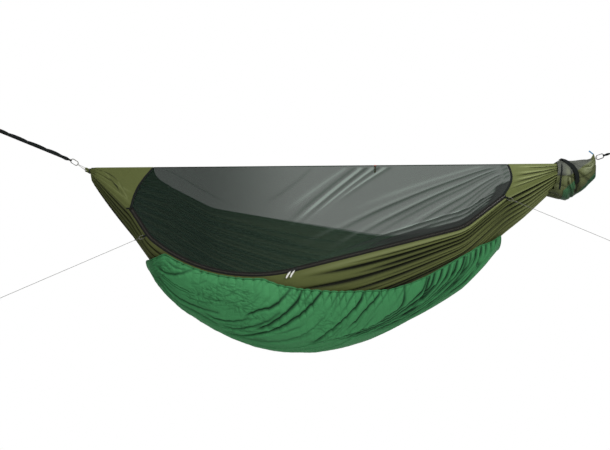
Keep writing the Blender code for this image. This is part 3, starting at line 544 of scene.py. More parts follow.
def braid(name, colour, fleck, pitch, girth):
    made = Finish(name)
    u, v, _ = made.parts(made.place("UV"))
    left = ((u / pitch + v * (4 / girth)) * (2 * math.pi)).wave()
    right = ((u / pitch - v * (4 / girth)) * (2 * math.pi)).wave()
    strands = left.most(right) * 0.5 + 0.5
    grain = made.cloud(240.0, 2.0)
    return made.surface(Base_Color=made.mix(strands * 0.6 + grain * 0.4, fleck, colour),
                        Roughness=0.55 + grain * 0.2, Specular_IOR_Level=0.15,
                        Normal=made.bump(strands, 0.0004, 0.8))


black_web = webbing("black_webbing_weave", (0.0045, 0.0060, 0.0055))
narrow_web = webbing("narrow_black_webbing", (0.0050, 0.0065, 0.0060), 0.0016, 0.01)
zip_weave = webbing("zip_tape_weave", (0.0070, 0.0070, 0.0060), 0.0011, 0.013)
seam_weave = webbing("far_seam_tape", (0.090, 0.105, 0.055), 0.0011, 0.025)
white_braid = braid("white_cord_braid", (0.60, 0.60, 0.57), (0.30, 0.30, 0.28), 0.003, 0.0107)
guy_braid = braid("guy_line_braid", (0.16, 0.16, 0.15), (0.07, 0.07, 0.065), 0.002, 0.0069)
black_braid = braid("ridgeline_braid", (0.020, 0.025, 0.021), (0.007, 0.009, 0.007), 0.0035,
                    0.0125)
print("webbing and cord finishes ready")

# %% [markdown]
# Metal parts are aluminium. Small scratches change how rough it is, and where the parts rub, a
# little bare metal shows through the black anodised ones.
# Wear could be painted by hand. Noise does it here, as each part is small in the picture.

# %% Metal and plastic


def metal(name, colour, roughness, rub, bare=1.0):
    made = Finish(name)
    scratches = made.cloud(900.0, 5.0)
    rubbed = made.cloud(160.0, 5.0).above(0.62) * rub
    return made.surface(Base_Color=made.mix(rubbed, colour, (0.55, 0.55, 0.52)),
                        Roughness=roughness + scratches * 0.25, Metallic=bare,
                        Normal=made.bump(scratches, 0.0001, 0.4), Specular_IOR_Level=0.25)


def plastic(name, colour):
    made = Finish(name)
    grain = made.cloud(1500.0, 3.0)
    return made.surface(Base_Color=made.mix(grain * 0.5, colour, tone(colour, 1.5, 0.004)),
                        Roughness=0.38 + grain * 0.2, Normal=made.bump(grain, 0.00008, 0.5),
                        Specular_IOR_Level=0.20)


grey_metal = metal("brushed_grey_metal", (0.10, 0.10, 0.085), 0.30, 0.5)
black_metal = metal("black_anodised_metal", (0.008, 0.009, 0.009), 0.45, 0.10, 0.0)
coil_plastic = plastic("zip_coil_plastic", (0.036, 0.033, 0.028))
thread = plastic("sewing_thread", (0.020, 0.022, 0.018))
print("metal and plastic ready")


def polish(node, material, edge):
    """A carried-over CAD node: welded, given smooth faces and a finish."""
    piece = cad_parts[node]
    piece.data.materials.clear()
    piece.data.materials.append(material)
    piece.data.shade_smooth()
    piece.modifiers.new("weld", "WELD").merge_threshold = 1e-5
    if edge:
        soften = piece.modifiers.new("soft edges", "BEVEL")
        soften.width = edge
        soften.segments = 2
        soften.angle_limit = math.radians(35)
        soften.harden_normals = True


for material, edge, nodes in (
        (grey_metal, 0.0, ("head_carabiner", "head_tie_ring", "foot_tie_ring")),
        (black_metal, 0.0, ("foot_carabiner", "head_gate", "foot_gate")),
        (black_metal, 0.0003, ("head_slider", "foot_slider"))):
    for node in nodes:
        polish(node, material, edge)
print("metal nodes polished")

# %% [markdown]
# Four cords leave the hammock: a webbing strap at each end and a guy line from each of the two
# side tie-outs. All are held taut from outside the picture, so each runs straight and ends just
# outside it, in a sewn or tied eye. A strap's main layer runs on round its far eye. The end that
# is turned back at the link, the eye's tail and the daisy chain are pieces sewn on to it.
# A bevelled curve could make them too. They are built ring by ring, so that every length in
# their UV maps is a real one and the weave fits.

# %% Lines of the cords


def line_frame(start, along):
    """Origin and three directions of a straight run, in the frame."""
    along = unit(np.array(along, float))
    across = unit(np.cross((0, -1, 0), along))
    return np.array(start, float), along, across, np.cross(along, across)


def on_line(line, local):
    """Points along a line's own directions, measured from the ridgeline's middle."""
    return np.asarray(local) @ np.stack(line[1:]) + line[0] - MIDDLE


def web_sides(turn):
    """Across the webbing and out of it, on its line, where it is turned by an angle."""
    turn = np.asarray(turn, float)[..., None]
    return (np.concatenate([0 * turn, np.cos(turn), np.sin(turn)], -1),
            np.concatenate([0 * turn, -np.sin(turn), np.cos(turn)], -1))


def web_piece(name, line, route, width, thickness, material, turn=0.0, share=1.0, **rest):
    """Webbing along (along, off) points of a line, and the course of its middle."""
    route = np.array(route, float)
    turn, share = np.broadcast_to(turn, len(route)), np.broadcast_to(share, len(route))
    across, normal = web_sides(turn)
    middle = route[:, :1] * (1, 0, 0) + normal * route[:, 1:]
    step = unit(np.gradient(route, axis=0))
    out = normal * step[:, :1] - step[:, 1:] * (1, 0, 0)
    profile = np.array(web_profile(width, thickness))
    rings = (middle[:, None] + across[:, None] * (profile[None, :, :1] * share[:, None, None])
             + out[:, None] * profile[None, :, 1:])
    girth = np.linspace(0, 2 * width, len(profile) + 1)
    mesh = tube_mesh(name, on_line(line, rings), run_of(route), girth, flip=True)
    return add_object(name, mesh, material, slot="black_webbing", **rest), on_line(line, middle)


WEB_WIDTH = 0.020
WEB_THICK = 0.0019
WEB_NECK = 0.0088
LINK_SIDE = 0.008
WIDENS_IN = 0.016
ROD = 0.0050
LAYER = 0.0014


def strap_turn(strap, s):
    """How far a strap is turned edge-on at a distance from the link."""
    return strap["turn"] * np.clip((s - LINK_SIDE) / strap["run"], 0, 1)


def strap_layer(name, strap, route, nodes=()):
    """One layer of a strap: narrow at the link, and turned edge-on away from it."""
    s = np.array(route, float)[:, 0]
    wide = WEB_NECK + (WEB_WIDTH - WEB_NECK) * np.clip((s - LINK_SIDE) / WIDENS_IN, 0, 1)
    return web_piece(name, strap["line"], route, WEB_WIDTH, WEB_THICK, black_web,
                     strap_turn(strap, s), wide / WEB_WIDTH, nodes=nodes)


def strap_tacks(name, strap, places, off):
    """Bar tacks: rows of thread across the webbing where layers are sewn together."""
    points = []
    for s in places:
        across, normal = web_sides(strap_turn(strap, s))
        for k in range(-7, 8):
            lean = 0.0006 if k % 2 else -0.0006
            for dx, dz in ((-0.0022, 0.0), (-0.0016, 0.0007), (0.0016, 0.0007), (0.0022, 0.0)):
                for dy in (-0.0004, 0.0004):
                    points.append(across * (k * 0.0011 + dy + lean * dx / 0.0022)
                                  + normal * (off + dz) + (s + dx, 0, 0))
    block = ((0, 1, 3, 2), (2, 3, 5, 4), (4, 5, 7, 6), (1, 0, 6, 7), (0, 2, 4, 6), (1, 7, 5, 3))
    mesh = join_mesh(name, on_line(strap["line"], points),
                     repeat_faces(block, 8, len(points) // 8))
    return add_object(name, mesh, thread, slot="black_webbing")


# How far from the link a strap's far eye begins, and the angle it turns edge-on by in its run.
STRAPS = {
    "head": {"line": line_frame((0.0, 0.0, 0.0), (-0.91914, 0.0, 0.39394)),
             "eye": 0.462, "turn": math.radians(45), "run": 0.044},
    "foot": {"line": line_frame((3.039203, 0.0, 0.00216), (0.96126, 0.0, 0.27564)),
             "eye": 0.100, "turn": math.radians(68), "run": 0.024}}
TACKS = (0.068, 0.148, 0.263, 0.378, 0.450)
CHAIN_OFF = LAYER + WEB_THICK + 0.0003
CHAIN_LIFT = 0.0075
BESIDE_LINK = 0.016
# The open eye at a strap's far end: where its middle is, and its half length and half height.
EYE_AHEAD = 0.034
EYE_LONG = 0.0156
EYE_HIGH = 0.012

for end, strap in STRAPS.items():
    eye = strap["eye"]
    # The main layer, from beside the link to the eye at the far end, and round it.
    run = [(s, LAYER) for s in np.linspace(BESIDE_LINK, eye, max(8, int(eye / 0.012)))]
    run += [(eye + 0.003, LAYER + 0.0006)]
    run += [(eye + EYE_AHEAD + EYE_LONG * math.cos(t), EYE_HIGH * math.sin(t))
            for t in np.radians(np.linspace(130, -130, 19))]
    run += [(eye + 0.003, -LAYER - 0.0006), (eye, -LAYER)]
    main, centre = strap_layer(f"{end}_strap_webbing", strap, run, (f"{end}_strap",))
    # The end that goes round the link and is sewn back.
    beside = [(BESIDE_LINK, LAYER), (0.010, 0.0030), (0.005, 0.0046)]
    turned = beside + [(-x, z) for x, z in
                       reversed(half_round(ROD / 2 + WEB_THICK / 2 + 0.0014, 9))]
    turned += [(s, -q) for s, q in reversed(beside)]
    turned += [(s, -LAYER) for s in np.linspace(0.020, 0.040, 5)]
    tail = [(eye - s, -LAYER) for s in np.linspace(0.0005, 0.040, 7)]
    sewn = [strap_layer(f"{end}_strap_turned_end", strap, turned)[0],
            strap_layer(f"{end}_strap_eye_tail", strap, tail)[0]]
    if end == "head":
        chain = [(TACKS[0] - 0.006, CHAIN_OFF), (TACKS[0], CHAIN_OFF)]
        for start, stop in zip(TACKS, TACKS[1:]):
            chain += [(start + (stop - start) * share,
                       CHAIN_OFF + CHAIN_LIFT * math.sin(math.pi * share) ** 0.6)
                      for share in np.linspace(0.05, 0.95, 10)]
            chain.append((stop, CHAIN_OFF))
        chain.append((TACKS[-1] + 0.006, CHAIN_OFF))
        sewn += [strap_layer("head_strap_daisy_chain", strap, chain, ("head_strap_loops",))[0],
                 strap_tacks("head_strap_bar_tacks", strap, TACKS, CHAIN_OFF + WEB_THICK / 2)]
    sewn.append(strap_tacks(f"{end}_strap_seam", strap, (0.026, 0.034, eye - 0.034, eye - 0.012),
                            LAYER + WEB_THICK / 2))
    centre = centre + MIDDLE

# %% [markdown]
# A guy line is thin cord. It is looped through the ring of the side tie-out with a knot, and its
# far end has a knot and a tied eye for a peg.

# %% Guy lines and their knots
GUY_CORD = 0.0022
KNOT = 0.0078
KNOT_TURNS = 3
RING_LENGTH = 0.028
RING_WIRE = 0.0032
NECK_LENGTH = 0.015
LEGS_APART = 0.0013
GUYS = {"head": line_frame((0.458839, -0.340713, -0.375702), (-0.7959, -0.54392, -0.26587)),
        "foot": line_frame((2.451603, -0.218226, -0.204729), (0.83006, -0.45631, -0.3206))}


def teardrop(start, wrap, length):
    """A closed loop of cord: round a wire at `start`, drawn together at its other end."""
    half = [(start + wrap * math.cos(t), wrap * math.sin(t))
            for t in np.linspace(math.pi, math.pi / 2, 5)]
    half += [(start + (length - LEGS_APART) * share,
              wrap + (LEGS_APART - wrap) * smooth_step(share, 0, 1))
             for share in np.linspace(0.15, 1.0, 10)]
    points = [(x, 0, z) for x, z in half] + [(start + length, 0, 0)]
    return np.array(points + [(x, 0, -z) for x, z in reversed(half[1:])])


def stopper_knot(name, line, middle):
    """An overhand stopper: one cord wound into a tight barrel."""
    steps = np.linspace(0, 1, 54)
    angle = 2 * math.pi * KNOT_TURNS * steps
    radius = (KNOT - GUY_CORD) / 2 * (0.75 + 0.25 * np.sin(math.pi * steps))
    local = np.stack([middle + (steps - 0.5) * KNOT * 0.95, radius * np.cos(angle),
                      radius * np.sin(angle)], -1)
    return cord_piece(name, on_line(line, local), GUY_CORD * 1.05, guy_braid, 8, normal=line[1],
                      slot="white_cord")


for end, line in GUYS.items():
    low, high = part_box(f"{end}_guy_line")
    reach = np.abs(np.array(high if line[1][0] > 0 else low) - line[0])[0] / abs(line[1][0])
    beside_knot = KNOT * 0.65 + 0.0003 + GUY_CORD / 2
    first = RING_LENGTH + NECK_LENGTH + beside_knot
    last = reach - KNOT * 0.64
    common = {"diameter": GUY_CORD, "material": guy_braid, "sides": 8, "slot": "white_cord"}
    path = on_line(line, np.linspace(first, last, 16)[:, None] * (1, 0, 0))
    guy = cord_piece(f"{end}_guy_cord", path, normal=line[3], nodes=(f"{end}_guy_line",),
                     **common)
    # Each loop lies in the plane of the line's first and third directions.
    loop = {"normal": line[2], "closed": True, **common}
    ring = teardrop(RING_LENGTH, RING_WIRE / 2 + GUY_CORD / 2 + 0.0004, NECK_LENGTH)
    ring_loop = cord_piece(f"{end}_guy_ring_loop", on_line(line, ring),
                           nodes=(f"{end}_guy_bight",), **loop)
    eye = teardrop(0.008, 0.008, 0.026)
    eye[:, 0] = last + beside_knot + 0.034 - eye[:, 0]
    eye_loop = cord_piece(f"{end}_guy_peg_loop", on_line(line, eye),
                          nodes=(f"{end}_guy_eye",), **loop)
    knots = [stopper_knot(f"{end}_guy_knot_{place}", line, middle)
             for place, middle in (("ring", first), ("peg", last))]
    world = path + MIDDLE

# %% [markdown]
# The zip edge gives the whole bed its form. It lies in one sloping plane. From the head it is a
# short straight, a bend, a long arc, a long straight, a second bend and a short straight. The far
# edge is the same line turned half round, as on a hammock that is cut for a diagonal lay.
# The line could be drawn by hand as a curve. It is worked out from lengths and headings, as in
# the CAD source, so that bed, tapes, net and sliders all follow the very same one.

# %% The zip's line
LEAN = math.radians(35)
EDGE_OUT = 0.096
ARC_RADIUS = 0.850
ARC_CENTRE = (-0.418, -0.218)
HEAD_LENGTH = 0.160
HEAD_HEADING = math.radians(-57.0)
ARC_HEADING = math.radians(-40.0)
RUN_HEADING = math.radians(14.5)
RUN_LENGTH = 0.900
BEND_RADIUS = 0.250
FOOT_HEADING = math.radians(37.8)
FOOT_LENGTH = 0.250
RIDGE_HALF = 1.385
SHEET_END = 0.041
EDGE_END_Z = -0.012
BED_DEPTH = 0.920
BED_END_Z = -0.040
HEAD_SAG_POWER = 0.86
FOOT_SAG_POWER = 1.00
TAPE_OUTER = 0.0125
SEAM_GAP = 0.0016
BED_BEHIND = 0.0020
SLOPE_OUT = np.array((0.0, -math.cos(LEAN), math.sin(LEAN)))


def slope_point(x, drop):
    """Points in the sloping plane of the near edge."""
    x, drop = np.broadcast_arrays(np.asarray(x, float), np.asarray(drop, float))
    return np.stack([x, -EDGE_OUT - drop * math.sin(LEAN), -drop * math.cos(LEAN)], -1)


def edge_course(pitch=0.006):
    """The zip's middle line as rows of (x, drop, heading)."""

    def on_arc(centre, radius, heading):
        return np.array((centre[0] + radius * math.sin(heading),
                         centre[1] + radius * math.cos(heading)))

    def turn(centre, radius, start, end):
        count = max(2, int(abs(end - start) * radius / pitch))
        return [(*on_arc(centre, radius, h), h) for h in np.linspace(start, end, count)]

    def straight(place, heading, start, stop):
        count = max(2, int(abs(stop - start) / pitch))
        way = np.array((math.cos(heading), -math.sin(heading)))
        return [(*(place + way * s), heading) for s in np.linspace(start, stop, count)]

    def bend_centre(place, heading):
        return place - BEND_RADIUS * np.array((math.sin(heading), math.cos(heading)))

    arc_start = on_arc(ARC_CENTRE, ARC_RADIUS, ARC_HEADING)
    head_bend = bend_centre(arc_start, ARC_HEADING)
    bend_start = on_arc(head_bend, BEND_RADIUS, HEAD_HEADING)
    run_start = on_arc(ARC_CENTRE, ARC_RADIUS, RUN_HEADING)
    run = straight(run_start, RUN_HEADING, 0, RUN_LENGTH)
    foot_bend = bend_centre(np.array(run[-1][:2]), RUN_HEADING)
    bend_end = on_arc(foot_bend, BEND_RADIUS, FOOT_HEADING)
    return np.array(straight(bend_start, HEAD_HEADING, -HEAD_LENGTH, 0)[:-1]
                    + turn(head_bend, BEND_RADIUS, HEAD_HEADING, ARC_HEADING)[:-1]
                    + turn(ARC_CENTRE, ARC_RADIUS, ARC_HEADING, RUN_HEADING)[:-1] + run[:-1]
                    + turn(foot_bend, BEND_RADIUS, RUN_HEADING, FOOT_HEADING)[:-1]
                    + straight(bend_end, FOOT_HEADING, 0, FOOT_LENGTH))


COURSE = edge_course()


def edge_table(offset, behind=0.0):
    x, drop, h = COURSE.T
    points = slope_point(x + offset * np.sin(h), drop + offset * np.cos(h)) - SLOPE_OUT * behind
    ends = np.array([(-RIDGE_HALF, 0.0, EDGE_END_Z), (RIDGE_HALF, 0.0, EDGE_END_Z)])
    return np.concatenate([ends[:1], points, ends[1:]])


BED_EDGE = edge_table(TAPE_OUTER + 0.001, BED_BEHIND)
NET_EDGE = edge_table(-TAPE_OUTER - SEAM_GAP)
TUCK_EDGE = edge_table(-TAPE_OUTER + 0.004, 0.0016)
LIP_EDGE = edge_table(TAPE_OUTER - 0.004, BED_BEHIND + 0.0004)


def near_edge(x, table):
    return np.stack([x, np.interp(x, table[:, 0], table[:, 1]),
                     np.interp(x, table[:, 0], table[:, 2])], -1)


def far_edge(x, table):
    other = near_edge(-x, table)
    return np.stack([x, -other[..., 1], other[..., 2]], -1)


def on_side(points, side):
    """The same places on the near side, or turned half round to the far one."""
    return points if side == "near" else np.asarray(points) * (-1, -1, 1)


print("zip line", run_of(slope_point(*COURSE.T[:2]))[-1].round(3), "m")

# %% [markdown]
# The bed is one long cloth gathered into a bunch at each end. Its deepest folds start somewhere
# along its length and run to the gather, getting closer together and deeper. Each fold here is
# one narrow crease with its own place, start and depth.
# A cloth simulation could gather it, but then the folds fall where they like. Pressed creases
# can lie where the real ones do.

# %% The bed's form and its creases


def bed_bottom(x):
    reach = np.clip(RIDGE_HALF - np.abs(x), 0, None) / RIDGE_HALF
    power = np.where(x < 0, HEAD_SAG_POWER, FOOT_SAG_POWER)
    return BED_END_Z - BED_DEPTH * np.sin(math.pi / 2 * reach ** power)


def bed_point(x, v):
    x, v = np.broadcast_arrays(np.asarray(x, float), np.asarray(v, float))
    near, far = near_edge(x, BED_EDGE), far_edge(x, BED_EDGE)
    share = (1 - np.cos(math.pi * v)) / 2
    point = near + (far - near) * share[..., None]
    point[..., 2] -= ((near[..., 2] + far[..., 2]) / 2 - bed_bottom(x)) * np.sin(math.pi * v)
    return point


def outward(surface, a, b, step=0.002):
    """The unit normal of a surface of two numbers, by differences."""
    low, high = np.clip(b, step, 1 - step) - step, np.clip(b, step, 1 - step) + step
    along = surface(a + step, b) - surface(a - step, b)
    across = surface(a, high) - surface(a, low)
    return unit(np.cross(across, along))


CREASES = 46
CREASE_DEEP = 0.0210
BULGE_HIGH = 0.0085
crease_draw = np.random.default_rng(11)
crease_rows = []
for k in range(CREASES):
    place = (k + crease_draw.uniform(0.25, 0.75)) / CREASES
    deep = k % 5 in (0, 2, 3)
    strength = crease_draw.uniform(0.85, 1.0) if deep else crease_draw.uniform(0.15, 0.55)
    width = crease_draw.uniform(0.0055, 0.0085) if deep else crease_draw.uniform(0.0028, 0.0042)
    at_head = strength if deep and 0.24 < place < 0.76 else 0.12 * strength
    if 0.026 < place < 0.974:
        crease_rows.append((place, crease_draw.uniform(-0.40, 0.20), strength, at_head, width))
crease_rows[:2] = [(0.015, 0.00, 0.6, 0.0, 0.0022), (0.032, -0.20, 1.0, 0.1, 0.0050),
                   (0.056, 0.05, 0.9, 0.1, 0.0060)]
# A few fine folds of the near side run to the head.
crease_rows += [(place, 0.0, 0.0, strength, 0.0034) for place, strength in
                ((0.045, 0.7), (0.100, 0.9), (0.155, 0.8), (0.215, 1.0), (0.262, 0.8))]
crease_rows.sort()
CREASE_PLACES = np.array([-0.012] + [row[0] for row in crease_rows] + [1.012])
# Close to a gather the folds crowd together, and only these few can be told apart.
MAIN_PLACES = np.array((-0.012, 0.030, 0.085, 0.140, 0.190, 0.245, 0.300, 0.370, 0.450, 0.540,
                        0.630, 0.700, 0.755, 0.810, 0.860, 0.915, 0.970, 1.012))


def crease_shift(x, v):
    """The creases wander together across the cloth towards its middle."""
    return 0.012 * np.sin(3 * x + 6 * v) * (1 - np.abs(x) / 1.4)


def bed_creases(x, v):
    """How deep each place lies in a crease, 0 to 1, and how far it bulges between two."""
    depth = np.zeros(np.shape(x))
    across = v - crease_shift(x, v)
    # Nearer to the gather there is less cloth round the section, so each crease takes more of it.
    wider = 1 + 1.8 * smooth_step(np.abs(x), 0.6, 1.25)
    for place, foot_start, at_foot, at_head, width in crease_rows:
        # Each side is drawn hardest towards one end: the near one to the foot, the far one to
        # the head.
        s = x if place < 0.5 else -x
        foot = at_foot * smooth_step(s, foot_start, foot_start + 0.40)
        head = at_head * smooth_step(-s, 0.40, 0.95)
        cut = np.exp(-(np.abs(across - place) / (width * wider)) ** 1.4)
        depth = np.maximum(depth, np.maximum(foot, head) * cut)
    crowded = smooth_step(np.abs(x), 0.78, 1.12) * (x * (0.5 - v) > 0)
    gap = np.abs(across[..., None] - MAIN_PLACES[1:-1]).min(axis=-1)
    depth = depth * (1 - 0.85 * crowded)
    depth = np.maximum(depth, crowded * np.exp(-(gap / 0.0140) ** 1.8))

    bulge = (bulges(CREASE_PLACES, across, 0.8) * (1 - crowded)
             + bulges(MAIN_PLACES, across, 0.8) * crowded)
    s = x * (1 - 2 * smooth_step(v, 0.42, 0.58))
    pull = np.maximum(smooth_step(s, -0.1, 0.9), 0.25 * smooth_step(-s, 0.4, 1.0))
    rim = inset(v, 0.018)
    return depth * rim, bulge * pull * rim


def bed_shape(x, v):
    normal = outward(bed_point, x, v)
    crease, bulge = bed_creases(x, v)
    ends = 1 - 0.55 * smooth_step(np.abs(x), 1.10, 1.36)
    soft = ripple((x * 0.35, v * 5.0), 2.2, 4.0) * 0.004 * inset(v, 0.06)
    rise = soft + 0.0010 + (BULGE_HIGH * bulge - CREASE_DEEP * crease) * ends
    # Painted shade in the creases; painted highlight on the bulges between them, more towards the
    # foot and on the far side, and on a strip just below the zip.
    strip = np.exp(-((np.minimum(v, 1 - v) - 0.012) / 0.010) ** 2) * smooth_step(x, -0.3, 0.1)
    far = smooth_step(v, 0.45, 0.60)
    lit = 0.36 + 0.34 * np.maximum(smooth_step(x, 0.6, 1.15), far)
    shade = crease * 1.9 - lit * bulge ** (4 - 2.4 * far) - 0.45 * strip * (v < 0.5)
    return bed_point(x, v) + normal * rise[..., None], np.clip(shade, -1, 1)


def spread_rows(count, half, ends=0.35):
    """Stations from head to foot, closer together near the gathers."""
    u = np.linspace(0, 1, count)
    return (1 - ends) * -half * np.cos(math.pi * u) + ends * half * (2 * u - 1)


rows_x = spread_rows(150, RIDGE_HALF - SHEET_END + 0.008)
grid_x, grid_v = np.meshgrid(rows_x, np.linspace(0, 1, 560), indexing="ij")
bed_points, bed_folds = bed_shape(grid_x, grid_v)
# Each long edge runs on a little, behind the tape that it is sewn to.
lips = [near_edge(rows_x, LIP_EDGE)[:, None], far_edge(rows_x, LIP_EDGE)[:, None]]
bed_points = np.concatenate([lips[0], bed_points, lips[1]], 1)
bed_folds = np.concatenate([bed_folds[:, :1], bed_folds, bed_folds[:, -1:]], 1)
bed = cloth("bed_cloth_gathered", bed_points, olive_cloth, 0.0007, bed_folds,
            slot="olive_ripstop", nodes=("bed_cloth",))
# The bed's inner side takes a darker copy of the olive cloth, painted shade for its dim inside;
# the thickness adds the outer side.
bed.data.materials[0] = inner_painted_shade_cloth
bed.data.materials.append(olive_cloth)
bed.modifiers["cloth thickness"].material_offset = 1
bed.modifiers["cloth thickness"].material_offset_rim = 1
bed_width = np.linalg.norm(np.diff(bed_points, axis=1), axis=2).sum(axis=1)
bed_length = np.linalg.norm(np.diff(bed_points, axis=0), axis=2).sum(axis=0)
print("bed section up to", bed_width.max().round(3), "m, length", bed_length.max().round(3), "m")

# %% [markdown]
# The net walls hang from the ridgeline and are sewn to the zip. They are pulled from their upper
# corners, which draws straight tension folds across them.
# These folds are few and straight, so each is one row of a table. A simulation or a sculpt would
# be harder to bring to the same places.

# %% Net walls
NET_RIDGE_X = 1.010
NET_BOW = 0.022
FOOT_BOW = 0.028
NET_TOP = 0.0045
NET_SAG = 0.022
SPLIT = 0.0035
FULLY_SHADED = 0.0055


def wall_point(x_top, x_edge, w, bow):
    x_top, x_edge, w, bow = np.broadcast_arrays(*[np.asarray(a, float)
                                                  for a in (x_top, x_edge, w, bow)])
    top = np.stack([x_top, 0 * x_top - NET_TOP * 0.8, 0 * x_top - NET_TOP * 0.8], -1)
    point = top + (near_edge(x_edge, NET_EDGE) - top) * w[..., None]
    point[..., 0] += bow * np.sin(math.pi * w)
    return point


def net_base(u, w):
    head_x, foot_x = COURSE[0, 0] + SPLIT, COURSE[-1, 0] - SPLIT
    x_top = -NET_RIDGE_X + SPLIT + (2 * NET_RIDGE_X - 2 * SPLIT) * u
    x_edge = head_x + (foot_x - head_x) * u
    point = wall_point(x_top, x_edge, w, -NET_BOW * (1 - u) + FOOT_BOW * u)
    sag = NET_SAG * np.sin(math.pi * np.clip(u, 0, 1)) * np.sin(math.pi * np.clip(w, 0, 1))
    return point + np.array((0, 1, -0.6)) * sag[..., None]


# Each fold, in thousandths: where it starts and stops on the wall (u, w), how high it stands
# and its half width. Those with a negative height are valleys.
NET_FOLDS = {
    "near": ((576, 0, 383, 600, -6, 12), (592, 0, 410, 580, 8.5, 13), (610, 0, 415, 620, -8.5, 11),
             (626, 0, 432, 600, 8, 12), (644, 0, 452, 560, -8, 10), (660, 0, 470, 520, 8, 12),
             (678, 0, 490, 480, -6, 10), (550, 0, 380, 450, 3, 12), (965, 40, 440, 800, 2.5, 10),
             (965, 60, 460, 840, -8.5, 10), (972, 100, 520, 900, 3.2, 10),
             (972, 130, 540, 930, -9, 9), (975, 170, 600, 940, -6, 8),
             (980, 220, 660, 950, 2.8, 8), (982, 260, 700, 960, -8.5, 8),
             (984, 330, 760, 970, -7, 8), (975, 400, 820, 970, -6, 8), (940, 0, 550, 520, 2.5, 12),
             (985, 500, 870, 970, -6, 8), (975, 720, 420, 1040, -12, 11),
             (975, 800, 500, 1060, -12, 10), (970, 890, 600, 1060, -12, 10),
             (970, 680, 600, 900, 6, 7)),
    "far": ((30, 30, 400, 850, 2, 12), (550, 0, 720, 700, 2.5, 12), (970, 50, 800, 900, 2, 10))}


def fold_height(u, w, folds, wide, tall):
    """Height of straight folds on a wall that is wide by tall metres."""
    height = np.zeros(np.shape(u))
    for u0, w0, u1, w1, high, half in np.array(folds) / 1000:
        run = np.array(((u1 - u0) * wide, (w1 - w0) * tall))
        length = np.hypot(*run)
        run /= length
        du, dw = (u - u0) * wide, (w - w0) * tall
        s = (du * run[0] + dw * run[1]) / length
        off = np.abs(du * run[1] - dw * run[0])
        fade = smooth_step(s, -0.02, 0.06) * (1 - smooth_step(s, 0.55, 1.05))
        height += high * fade * np.exp(-(off / (half * (0.8 + 0.6 * np.clip(s, 0, 1)))) ** 2)
    return height


def net_wall(side, rows=240, columns=120):
    u, w = np.meshgrid(np.linspace(0, 1, rows), np.linspace(0, 1, columns), indexing="ij")
    normal = outward(net_base, u, w)
    folds = fold_height(u, w, NET_FOLDS[side], 2.0, 0.55)
    crumple = smooth_step(u, 0.93, 1.0) * ripple((u * 2, w * 0.5), 22.0, 1.5) * 0.008
    loose = ripple((u * 2.0, w * 0.55), 5.0, 7.0) * 0.0035
    edge = inset(w, 0.05) * inset(u, 0.02)
    point = net_base(u, w) - normal * ((folds + crumple + loose) * edge)[..., None]
    # The fold mark: a painted highlight on each ridge, and painted shade in the deepest valleys.
    drawn = np.clip(folds / FULLY_SHADED, -1.6, 1) * inset(w, 0.02)
    # The end of the wall is doubled where it is turned in at the zip.
    doubled = smooth_step(u + 0.027 * w, 0.968, 0.984) * smooth_step(w, 0.52, 0.57)
    puckers = smooth_step(u, 0.978, 0.986) * smooth_step(0.48 - w, 0, 0.04) * (
        0.5 + 0.5 * np.sin(50 * w + 160 * u))
    drawn = drawn * (1 - doubled) - 2.2 * doubled - 1.2 * puckers
    if side == "near":
        # Towards the foot the lowest strip is turned in above the zip.
        turned = smooth_step(w, 0.915, 0.935) * smooth_step(u, 0.56, 0.70)
        drawn = drawn * (1 - turned) - 2.0 * turned
    else:
        # The light catches the far seam where it is pulled tight.
        lit = smooth_step(w, 0.970, 0.985) * (1 - smooth_step(u, 0.5, 0.75))
        drawn = np.maximum(drawn, 1.3 * lit)
    # Its upper edge is turned over the ridgeline and its lower edge runs on behind the tape.
    over = point[:, 0] * (1, 0, 0) + (0, -0.0012, 0.0026)
    under = near_edge(point[:, -1, 0], TUCK_EDGE)
    return (np.concatenate([over[:, None], point, under[:, None]], 1),
            np.concatenate([0 * drawn[:, :1] - 2, drawn, drawn[:, -1:]], 1))


for side in ("near", "far"):
    wall, drawn = net_wall(side)
    cloth(f"net_wall_{side}", on_side(wall, side), net_cloth, 0.0, drawn,
                       slot="bug_net", nodes=(f"net_{side}",))
    tall = np.linalg.norm(np.diff(wall, axis=1), axis=2).sum(axis=1).max()
    print(side, "net", tall.round(3), "m tall")

# %% [markdown]
# Olive end panels close the wall between each gather and the net. A black binding covers the
# seam, sewn down along both edges.

# %% End panels


def head_panel_base(u, w):
    start = -RIDGE_HALF + SHEET_END
    x_top = start + (RIDGE_HALF - SHEET_END - NET_RIDGE_X - SPLIT) * u
    x_edge = start + (COURSE[0, 0] - SPLIT - start) * u
    return wall_point(x_top, x_edge, w, -NET_BOW * u)


def foot_panel_base(u, w):
    end = RIDGE_HALF - SHEET_END
    x_top = NET_RIDGE_X + SPLIT + (end - NET_RIDGE_X - SPLIT) * u
    x_edge = COURSE[-1, 0] + SPLIT + (end - COURSE[-1, 0] - SPLIT) * u
    return wall_point(x_top, x_edge, w, FOOT_BOW * (1 - u))


# Folds that run from the gather across each panel, given as on the net.
PANEL_FOLDS = {
    "head": ((20, 100, 620, 600, -3, 4.5), (20, 450, 850, 900, -2.5, 5), (0, 650, 950, 700, 2, 6),
             (350, 550, 800, 970, -3.5, 5), (550, 550, 900, 920, 3, 5), (0, 850, 980, 930, 2.5, 5),
             (150, 200, 420, 620, 2, 6), (600, 750, 780, 980, 2.8, 4)),
    "foot": ((1000, 120, 100, 60, 3.5, 6), (1000, 250, 300, 120, -4.5, 5),
             (1000, 400, 80, 300, 4.5, 7), (1000, 500, 50, 420, -5.5, 5),
             (1000, 620, 50, 550, 5, 7), (1000, 720, 40, 680, -5.5, 5),
             (1000, 820, 40, 800, 4.5, 6), (1000, 900, 20, 900, -5, 4))}
# How the painted shade of a panel follows its folds: for how deep a fold it is full, how light
# the painted highlight on a ridge may be, and how much highlight is painted near the panel's top.
PANEL_SHADES = {"head": (0.004, -0.2, 0.0), "foot": (0.0026, -0.9, 0.24)}
BASES = {"head": head_panel_base, "foot": foot_panel_base}
